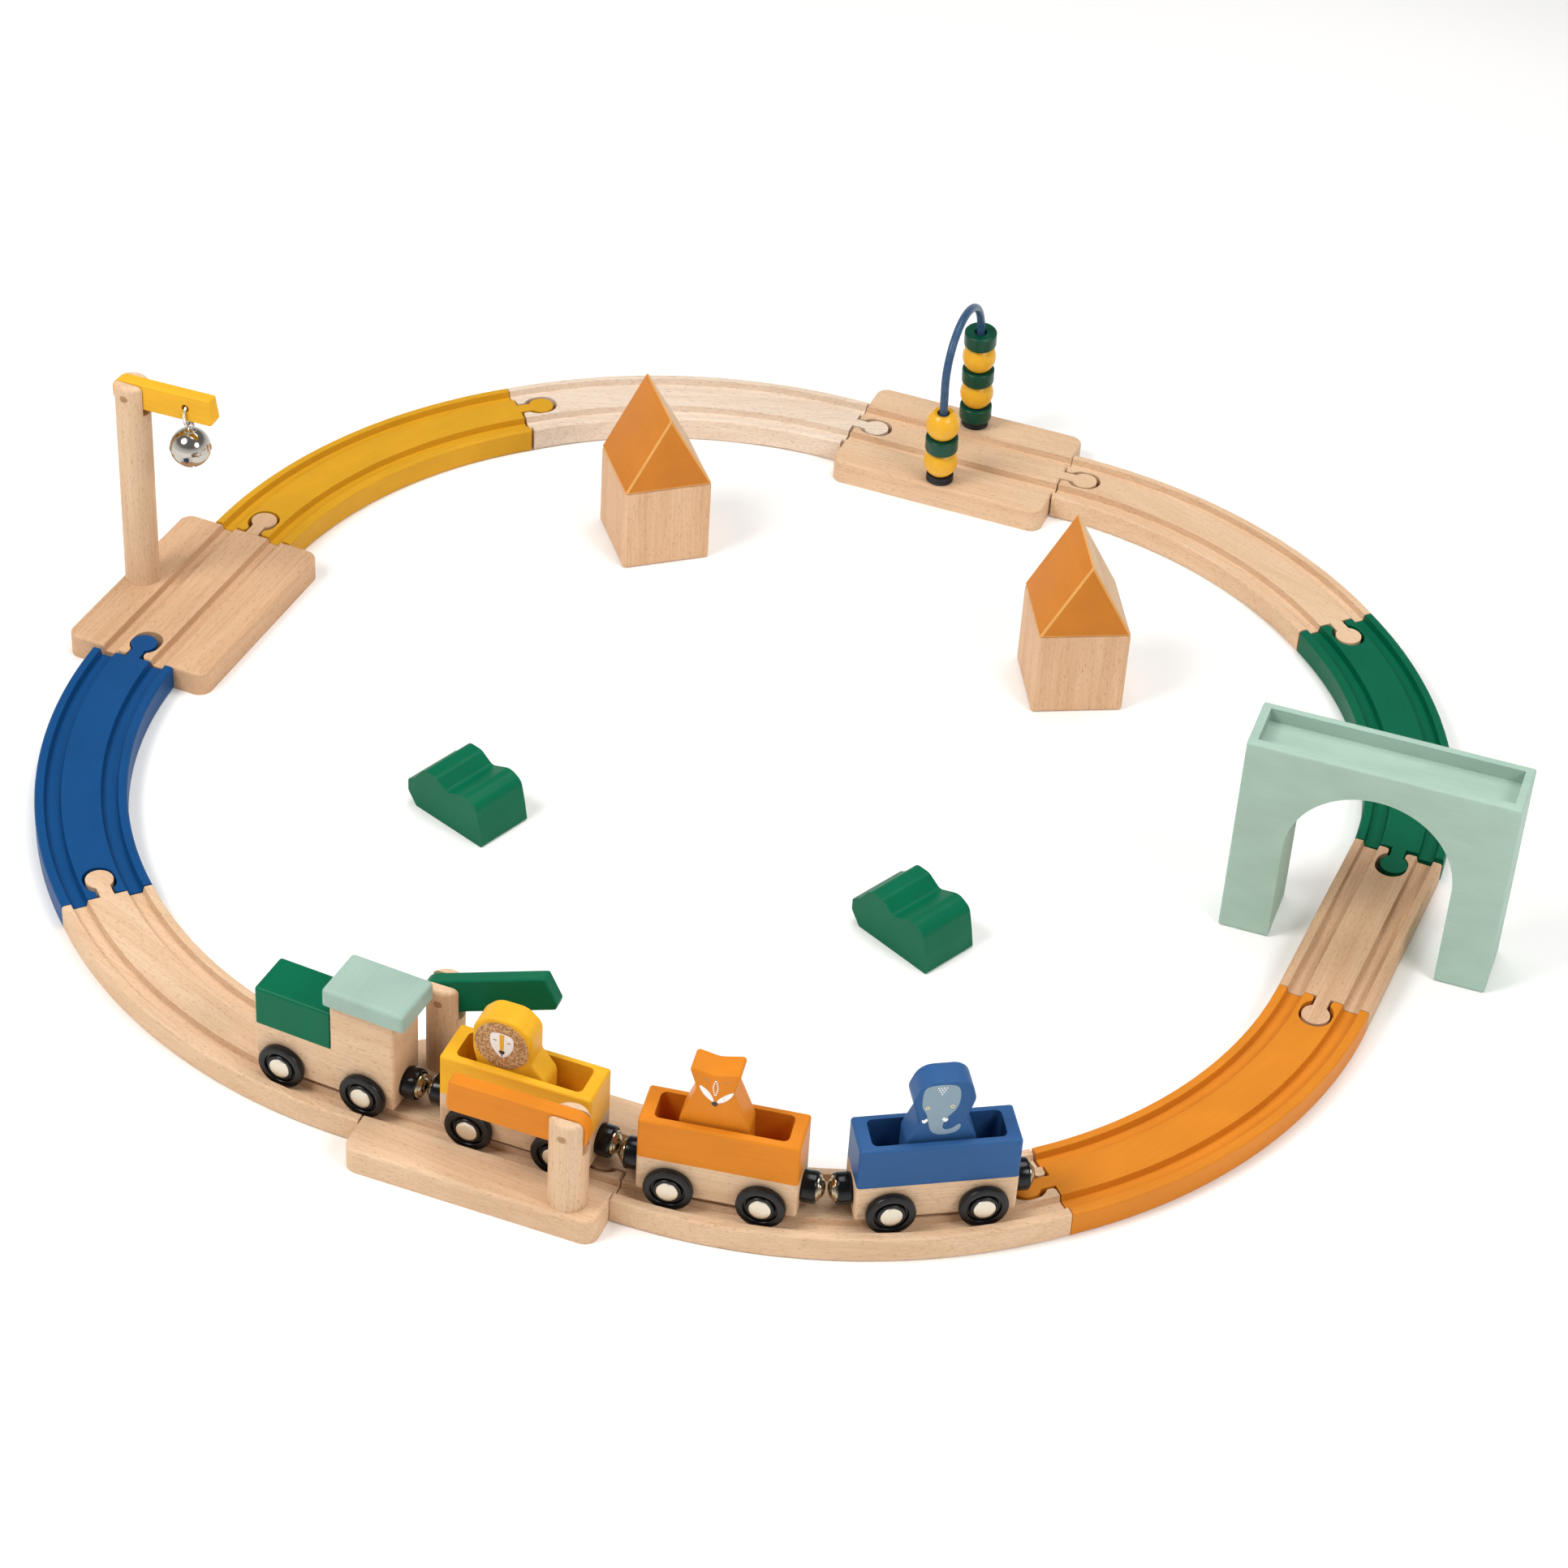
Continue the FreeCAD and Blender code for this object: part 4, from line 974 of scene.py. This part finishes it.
# ---- train
@dataclass
class Vehicle:
    """What the engine and the wagons share: a beech chassis, wheelsets and magnet couplers."""

    design: Design
    name: str
    length: float
    coupled: tuple[int, ...]
    wheel_radius: float = 10.0
    wheel_width: float = 3.4
    wheel_inner: float = 11.0
    axle_radius: float = 1.5
    cup_radius: float = 6.7
    coupler_height: float = 22.5
    seed: float = 40.0

    @property
    def place(self) -> Matrix:
        """The vehicle's own place."""
        return self.design.vehicle(self.name)

    @property
    def ahead(self) -> Vector:
        """Which way it points."""
        return (self.place.to_3x3() @ ALONG_X).normalized()

    def build(self) -> None:
        """Builds and dresses everything."""
        self.design.sand(f"{self.name}_chassis", self.ahead, self.seed)
        for end in ("front", "rear"):
            self.build_wheels(f"{self.name}_{end}_wheels")
        self.build_couplers()

    def wheel_profile(self) -> list[Point]:
        """A wheel's section: a broad rim, a groove and a hub."""
        r, w = self.wheel_radius, self.wheel_width
        return [
            (0.0, 0.25), (2.6, 0.25), (2.8, 0.0), (r - 0.8, 0.0), (r - 0.25, 0.25), (r, 0.8), (r, w - 0.8),
            (r - 0.22, w - 0.28), (r - 0.75, w), (7.45, w), (7.05, w - 0.12), (6.8, w - 0.5), (6.7, w - 1.3),
            (6.0, w - 1.4), (5.85, w - 0.9), (5.75, w - 0.25), (5.5, w), (4.75, w), (4.6, w - 0.35),
            (0.0, w - 0.35),
        ]

    def build_wheels(self, name: str) -> None:
        """Two black wheels with plated caps on a steel axle.

        Args:
            name: The wheelset's node and body.
        """
        middle = self.design.spot(f"{name}_spin")
        axis = self.design.axis(f"{name}_spin")
        wheels, caps, axle = bmesh.new(), bmesh.new(), bmesh.new()
        w = self.wheel_width
        cap = [
            (4.5, w - 0.34), (4.5, w + 0.1), (4.38, w + 0.36), (4.1, w + 0.5), (3.2, w + 0.63),
            (1.8, w + 0.72), (0.0, w + 0.76),
        ]
        for side in (-1, 1):
            place = frame_at(middle + axis * (side * self.wheel_inner), axis * side)
            turn_on_lathe(wheels, self.wheel_profile(), place, 80)
            turn_on_lathe(caps, cap, place, 56)
        r = self.axle_radius
        bar = [(0.0, 0.0), (r, 0.0), (r, 2 * self.wheel_inner), (0.0, 2 * self.wheel_inner)]
        turn_on_lathe(axle, bar, frame_at(middle - axis * self.wheel_inner, axis), 24)
        put_on(to_object(f"{name}_rims", wheels, BLACK_WHEEL.material()), name, "wheel", name)
        put_on(to_object(f"{name}_caps", caps, CAP_METAL.material()), name, "wheel")
        put_on(to_object(f"{name}_axle", axle, AXLE_METAL.material()), name, "wheel")

    def build_couplers(self) -> None:
        """A black cup at each coupled end, with a plated magnet whose face is stepped."""
        cups, magnets = bmesh.new(), bmesh.new()
        r = self.cup_radius
        cup = [
            (0.0, 0.0), (r - 0.4, 0.0), (r - 0.35, 0.5), (r - 0.05, 0.7), (r, 1.1), (r, 5.2), (r - 0.12, 5.8),
            (r - 0.5, 6.2), (5.75, 6.2), (5.6, 5.9), (5.5, 3.0), (0.0, 3.0),
        ]
        magnet = [
            (0.0, 3.1), (5.2, 3.1), (5.25, 6.5), (5.1, 7.0), (4.7, 7.35), (4.35, 7.3), (4.2, 7.05),
            (4.05, 7.3), (3.9, 7.7), (3.3, 8.3), (2.4, 8.75), (1.2, 9.0), (0.0, 9.08),
        ]
        for end in self.coupled:
            start = self.place @ Vector((end * self.length / 2, 0.0, self.coupler_height))
            place = frame_at(start, self.ahead * end)
            turn_on_lathe(cups, cup, place, 56)
            turn_on_lathe(magnets, magnet, place, 56)
        node = "engine_coupler" if self.name == "engine" else f"{self.name}_couplers"
        put_on(to_object(f"{self.name}_cups", cups, BLACK_CUP.material()), self.name, "coupler", node)
        put_on(to_object(f"{self.name}_magnets", magnets, MAGNET_METAL.material()), self.name, "coupler")


@dataclass
class Engine(Vehicle):
    """The engine: a green hood, a beech cab and a mint roof."""

    def build(self) -> None:
        """Builds and dresses everything."""
        super().build()
        across = UP.cross(self.ahead)
        self.design.sand("engine_cab", self.ahead, 52.0)
        self.design.spray("engine_hood", Paint.GREEN, across, 9.0, 0.36)
        # the roof takes the darker mint: painted shade on its top
        self.design.spray("engine_roof", Paint.SHADED_ROOF_MINT, across, 10.0, 0.40)


@dataclass
class Wagon(Vehicle):
    """A wagon: a painted box with a pocket, and its animal."""

    paint: Paint = Paint.YELLOW
    animal: str = "lion"
    slot: str = "yellow_paint"
    pocket_floor: float = 36.4
    animal_half: float = 6.0
    ink_mm: float = 0.1
    first_lift: float = 0.02
    layer_lift: float = 0.05

    def build(self) -> None:
        """Builds and dresses everything."""
        super().build()
        self.design.spray(f"{self.name}_box", self.paint, self.ahead, self.seed + 1, 0.38)
        self.design.spray(self.animal, self.paint, UP, self.seed + 2, 0.38)
        self.print_face()

    def ink(self, ink: Ink, speckle: str = "") -> Material:
        """One ink on this wagon's paint."""
        name = f"printed_{self.animal}_{ink.name.lower()}"
        return PrintedInk(name, ink.value, self.paint.value, speckle).material()

    def face_place(self) -> Matrix:
        """The animal's left face: X forward, Y up from the pocket's floor, Z out of the board."""
        start = self.place @ Vector((0.0, self.animal_half, self.pocket_floor))
        out = (self.place.to_3x3() @ Vector((0.0, 1.0, 0.0))).normalized()
        return place_of(-self.ahead, UP, out, start) @ Matrix.Scale(-1.0, 4, ALONG_X)

    def print_face(self) -> None:
        """Prints the animal's face."""
        shape = bmesh.new()
        draw = {"lion": self.draw_lion, "fox": self.draw_fox, "elephant": self.draw_elephant}[self.animal]
        finishes = draw(shape, self.face_place())
        put_on(to_object(f"{self.animal}_face", shape, *finishes), self.animal, self.slot)

    def mark(
        self, shape: Shape, outline: Sequence[Point], place: Matrix, finish: int, layer: int = 0
    ) -> None:
        """Prints one closed shape; later layers lie on earlier ones."""
        lift = Matrix.Translation((0.0, 0.0, self.first_lift + self.layer_lift * layer))
        plate(shape, outline, place @ lift, self.ink_mm, finish)

    def draw_lion(self, shape: Shape, place: Matrix) -> list[Material]:
        """A round speckled mane, a white face, a yellow nose stripe and a dark nose."""
        self.mark(shape, oval(7.6, 25.2, 11.4, 11.5, 56), place, 0)
        face = [
            (12.6, 30.6), (9.5, 31.6), (5.6, 31.6), (2.4, 30.4), (2.6, 25.0), (4.4, 21.6), (7.4, 18.6),
            (10.4, 21.6), (12.4, 25.0),
        ]
        self.mark(shape, smooth_outline(face), place, 1, 1)
        self.mark(shape, [(8.5, 31.2), (8.2, 22.8), (6.7, 22.8), (6.4, 31.2)], place, 2, 2)
        self.mark(shape, smooth_outline([(8.9, 22.9), (5.9, 22.9), (6.6, 21.0), (8.2, 21.0)], 2), place, 3, 3)
        self.mark(shape, [(7.6, 21.2), (7.2, 21.2), (7.2, 19.6), (7.6, 19.6)], place, 3, 2)
        for x in (10.4, 4.5):
            self.mark(shape, oval(x, 27.6, 0.85, 0.32, 16), place, 4, 2)
        stripe = PrintedInk("printed_lion_stripe", self.paint.value, self.paint.value).material()
        inks = [self.ink(ink) for ink in (Ink.WHITE, Ink.NOSE, Ink.FAINT)]
        return [self.ink(Ink.MANE, "#C9A87A"), inks[0], stripe, inks[1], inks[2]]

    def draw_fox(self, shape: Shape, place: Matrix) -> list[Material]:
        """Two white cheeks that meet at a black nose, a dotted line up the forehead and small eyes."""
        left = [(10.0, 34.9), (8.4, 30.6), (5.2, 27.4), (3.4, 26.4), (4.2, 29.4), (6.4, 32.6)]
        right = [(-4.6, 33.9), (-1.4, 31.8), (1.8, 28.6), (2.8, 26.4), (0.6, 26.8), (-2.6, 29.6)]
        self.mark(shape, smooth_outline(left, 2), place, 0)
        self.mark(shape, smooth_outline(right, 2), place, 0)
        self.mark(shape, smooth_outline([(4.7, 27.0), (1.7, 27.0), (2.4, 24.7), (4.0, 24.7)], 2), place, 1, 1)
        for i in range(7):
            reach = 0.9 * math.sin(math.pi * (i + 0.5) / 7)
            for x in (3.2 - reach, 3.2 + reach):
                self.mark(shape, oval(x, 30.6 + 1.15 * i, 0.3, 0.42, 10), place, 0, 0)
        for x in (7.1, -0.4):
            self.mark(shape, oval(x, 37.6, 0.75, 0.3, 14), place, 2, 0)
        return [self.ink(Ink.WHITE), self.ink(Ink.NOSE), self.ink(Ink.FAINT)]

    def draw_elephant(self, shape: Shape, place: Matrix) -> list[Material]:
        """A grey face whose trunk curls to one side, two short tusks, pale eyes and a dotted forehead."""
        head = [
            (8.6, 36.5), (8.0, 41.6), (4.6, 42.9), (-2.4, 42.9), (-6.0, 41.2), (-6.6, 35.5), (-5.6, 30.0),
            (-2.4, 26.6), (-0.6, 23.2), (-0.2, 20.4), (-1.8, 19.2), (-4.6, 20.0), (-6.6, 22.0), (-7.8, 21.4),
            (-7.0, 18.6), (-3.6, 16.9), (1.6, 16.9), (4.4, 19.2), (5.4, 23.4), (6.4, 28.6), (8.4, 31.6),
        ]
        self.mark(shape, smooth_outline(head), place, 0)
        for x, sign in ((6.6, 1), (-0.9, -1)):
            tusk = [(-1.2, 25.2), (0.0, 26.0), (0.6, 24.9), (1.5, 25.5), (1.3, 23.9), (0.0, 23.4)]
            tusk = [(x + a * sign, b) for a, b in tusk]
            self.mark(shape, smooth_outline(tusk, 2), place, 1, 1)
        for x in (6.2, -3.6):
            self.mark(shape, oval(x, 31.4, 0.85, 0.85, 18), place, 2, 1)
            self.mark(shape, oval(x, 31.4, 0.3, 0.3, 10), place, 3, 2)
        for row in range(4):
            for k in range(row + 1):
                x = 1.0 + 1.1 * (k - row / 2)
                self.mark(shape, oval(x, 38.2 + 1.05 * row, 0.26, 0.4, 10), place, 1, 1)
        cream = PrintedInk("printed_elephant_eye", "#D9CBA6", self.paint.value).material()
        return [self.ink(Ink.GREY), self.ink(Ink.WHITE), cream, self.ink(Ink.NOSE)]


# ---- scenery
@dataclass
class Scenery:
    """A mint bridge, two houses with loose roofs and two green bushes."""

    design: Design
    bridge_turn: float = 1.6
    house_turns: Point = (38.0, 27.0)
    bush_turns: Point = (-21.2, -25.8)
    roof_side: float = 42.5
    roof_height: float = 39.0
    roof_edge: float = 0.9

    def build(self) -> None:
        """Builds and dresses everything."""
        self.design.spray("bridge", Paint.MINT, level(self.bridge_turn), 11.0, 0.5, relief_mm=0.03)
        for i, turn in enumerate(self.house_turns, start=1):
            self.design.sand(f"house_block_{i}", UP, 60.0 + i, "#DBB590", "#CDA078")
            self.build_roof(i, turn)
        for i, turn in enumerate(self.bush_turns, start=1):
            self.design.spray(f"bush_{i}", Paint.GREEN, level(turn), 14.0 + i, 0.36)

    def build_roof(self, number: int, turn: float) -> None:
        """A gabled roof, sprayed orange but for one slope, with a painted highlight of lighter orange on its
        bevelled edges.

        Args:
            number: Which house.
            turn: Its turn in degrees.
        """
        node = f"house_roof_{number}"
        origin = self.design.middle(node)
        origin.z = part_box(node)[0][2] / MM
        half = self.roof_side / 2
        place = Matrix.Translation(origin) @ Matrix.Rotation(math.radians(turn), 4, "Z")
        shape = bmesh.new()
        corners = [(-half, 0.0), (half, 0.0), (0.0, self.roof_height)]
        ends = [[shape.verts.new((a, side * half, b)) for a, b in corners] for side in (-1, 1)]
        shape.faces.new(ends[0])
        shape.faces.new(list(reversed(ends[1])))
        for i in range(3):
            j = (i + 1) % 3
            shape.faces.new([ends[0][i], ends[1][i], ends[1][j], ends[0][j]])
        bmesh.ops.recalc_face_normals(shape, faces=shape.faces)
        edges = list(shape.edges)
        bmesh.ops.bevel(shape, geom=edges, offset=self.roof_edge, segments=4, profile=0.5, affect="EDGES")
        shape.normal_update()
        for face in shape.faces:
            bare_slope = face.normal.x > 0.7 and face.normal.z > 0.2
            # the narrow bevel strips along the edges get the lighter orange of a painted edge highlight
            highlit_bevel = face.calc_area() < self.roof_side * self.roof_edge
            face.material_index = 2 if highlit_bevel else int(bare_slope)
        bmesh.ops.transform(shape, matrix=place, verts=shape.verts)
        ridge = level(turn + 90.0)
        paint = SprayedPaint(f"sprayed_{node}", Paint.ROOF_ORANGE.value, ridge, 17.0 + number, 0.48)
        bare = SandedBeech(f"beech_{node}", ridge, 70.0 + number)
        # third finish: the painted edge highlight, a lighter copy of the roof orange
        rim = SprayedPaint(f"highlit_edge_{node}", Paint.ROOF_EDGE_HIGHLIGHT.value, ridge, 19.0 + number, 0.48)
        finishes = [finish.material() for finish in (paint, bare, rim)]
        put_on(to_object(f"{node}_gabled", shape, *finishes, sharp_deg=50.0), node, "orange_paint", node)


# ---- studio
@dataclass
class Studio:
    """A pale floor, soft lights and the camera."""

    target: tuple[float, float, float] = (5.415, -2.36, 0.0)
    azimuth: float = 18.393
    elevation: float = 38.710
    distance: float = 1806.6
    roll: float = 3.914
    lens: float = 92.93
    floor_colour: str = "#FBFAF8"
    wall_light: float = 0.84
    wall_top: float = 0.12             # sine of the height angle where the wall begins to darken
    ceiling_from: float = 0.42
    ceiling: float = 0.21
    fade_mm: Point = (800.0, 1400.0)   # from the middle, where the floor melts into the white air
    floor_low: float = -1.3
    floor_thick: float = 1.25

    def build(self) -> None:
        """Sets up everything round the object."""
        self.build_floor()
        self.build_lights()
        self.build_camera()

    def build_floor(self) -> None:
        """A matt floor that melts into the white air round it."""
        shape = bmesh.new()
        half = self.fade_mm[1]
        below = Matrix.Translation((0.0, 0.0, self.floor_low))
        plate(shape, [(-half, -half), (half, -half), (half, half), (-half, half)], below, self.floor_thick)
        made = Shading("matt_paper_floor", IOR=1.3, Roughness=0.9)
        where = made.in_piece()
        dull, bright = shade(self.floor_colour, 0.985), linear(self.floor_colour)
        made.feed(Base_Color=made.ramp(made.noise(where, 2.0, 1.0), (0.3, dull), (0.7, bright)))
        away = made.node("ShaderNodeVectorMath", {0: where}, operation="LENGTH").outputs["Value"]
        near, far = (reach * MM for reach in self.fade_mm)
        fade = {0: away, 1: near, 2: far}
        gone = made.node("ShaderNodeMapRange", fade, interpolation_type="SMOOTHSTEP").outputs[0]
        air = made.node("ShaderNodeBsdfTransparent").outputs[0]
        both = made.node("ShaderNodeMixShader", {0: gone, 1: made.shader.outputs[0], 2: air})
        made.material.node_tree.links.new(both.outputs[0], made.surface.inputs["Surface"])
        to_object("floor", shape, made.material)

    def build_lights(self) -> None:
        """White walls under a dim ceiling, and three soft boxes."""
        world = bpy.data.worlds.new("white_studio")
        world.use_nodes = True
        air = world.node_tree.nodes["Background"]
        air.inputs[1].default_value = 1.0
        where = add_node(world, "ShaderNodeTexCoord").outputs["Generated"]
        height = add_node(world, "ShaderNodeSeparateXYZ", {0: where}).outputs[2]
        wall, ceiling = ((light,) * 3 + (1.0,) for light in (self.wall_light, self.ceiling))
        stops = [(0.0, WHITE), (0.02, wall), (self.wall_top, wall), (self.ceiling_from, ceiling)]
        room = add_node(world, "ShaderNodeValToRGB", {0: height}, stops=stops)
        world.node_tree.links.new(room.outputs[0], air.inputs[0])
        bpy.context.scene.world = world
        boxes = {
            "key_box": ((-900.0, -900.0, 1500.0), 900.0, 24.0),
            "fill_box": ((1300.0, -500.0, 1200.0), 800.0, 12.5),
            "top_box": ((100.0, 500.0, 1900.0), 1300.0, 18.0),
        }
        for name, (spot, size, power) in boxes.items():
            light = bpy.data.lights.new(name, "AREA")
            light.shape, light.size, light.energy = "DISK", size * MM, power
            lamp = bpy.data.objects.new(name, light)
            lamp.location = Vector(spot) * MM
            lamp.rotation_euler = (-Vector(spot)).to_track_quat("-Z", "Y").to_euler()
            bpy.context.scene.collection.objects.link(lamp)

    def build_camera(self) -> None:
        """The camera, from its angles, distance and roll."""
        a, e, roll = (math.radians(v) for v in (self.azimuth, self.elevation, self.roll))
        back = Vector((math.sin(a) * math.cos(e), -math.cos(a) * math.cos(e), math.sin(e)))
        right = (-back).cross(UP).normalized()
        top = right.cross(-back)
        x = right * math.cos(roll) + top * math.sin(roll)
        y = top * math.cos(roll) - right * math.sin(roll)
        lens = bpy.data.cameras.new("camera")
        lens.sensor_width, lens.lens = 36.0, self.lens
        lens.clip_start, lens.clip_end = 0.05, 50.0
        camera = bpy.data.objects.new("camera", lens)
        camera.matrix_world = place_of(x, y, back, (Vector(self.target) + back * self.distance) * MM)
        bpy.context.scene.collection.objects.link(camera)
        bpy.context.scene.camera = camera
        bpy.context.scene.view_settings.view_transform = "Standard"


def clear_scene() -> None:
    """Removes what a new file starts with."""
    for thing in list(bpy.data.objects):
        bpy.data.objects.remove(thing)


def main() -> None:
    """Builds the set in order and reports each piece."""
    logging.basicConfig(level=logging.INFO, format="%(name)s: %(message)s")
    clear_scene()
    design = Design.load()
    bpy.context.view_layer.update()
    Studio().build()
    dress_track(design)
    Signals(design).build()
    BeadRun(design).build()
    Engine(design, "engine", 63.0, (-1,), seed=41.0).build()
    wagons = (
        ("yellow_wagon", Paint.YELLOW, "lion", "yellow_paint"),
        ("orange_wagon", Paint.ORANGE, "fox", "orange_paint"),
        ("blue_wagon", Paint.WAGON_BLUE, "elephant", "wagon_blue"),
    )
    for i, (name, paint, animal, slot) in enumerate(wagons):
        Wagon(design, name, 64.5, (1, -1), seed=43.0 + 2.0 * i, paint=paint, animal=animal, slot=slot).build()
    Scenery(design).build()


if __name__ == "__main__":
    main()
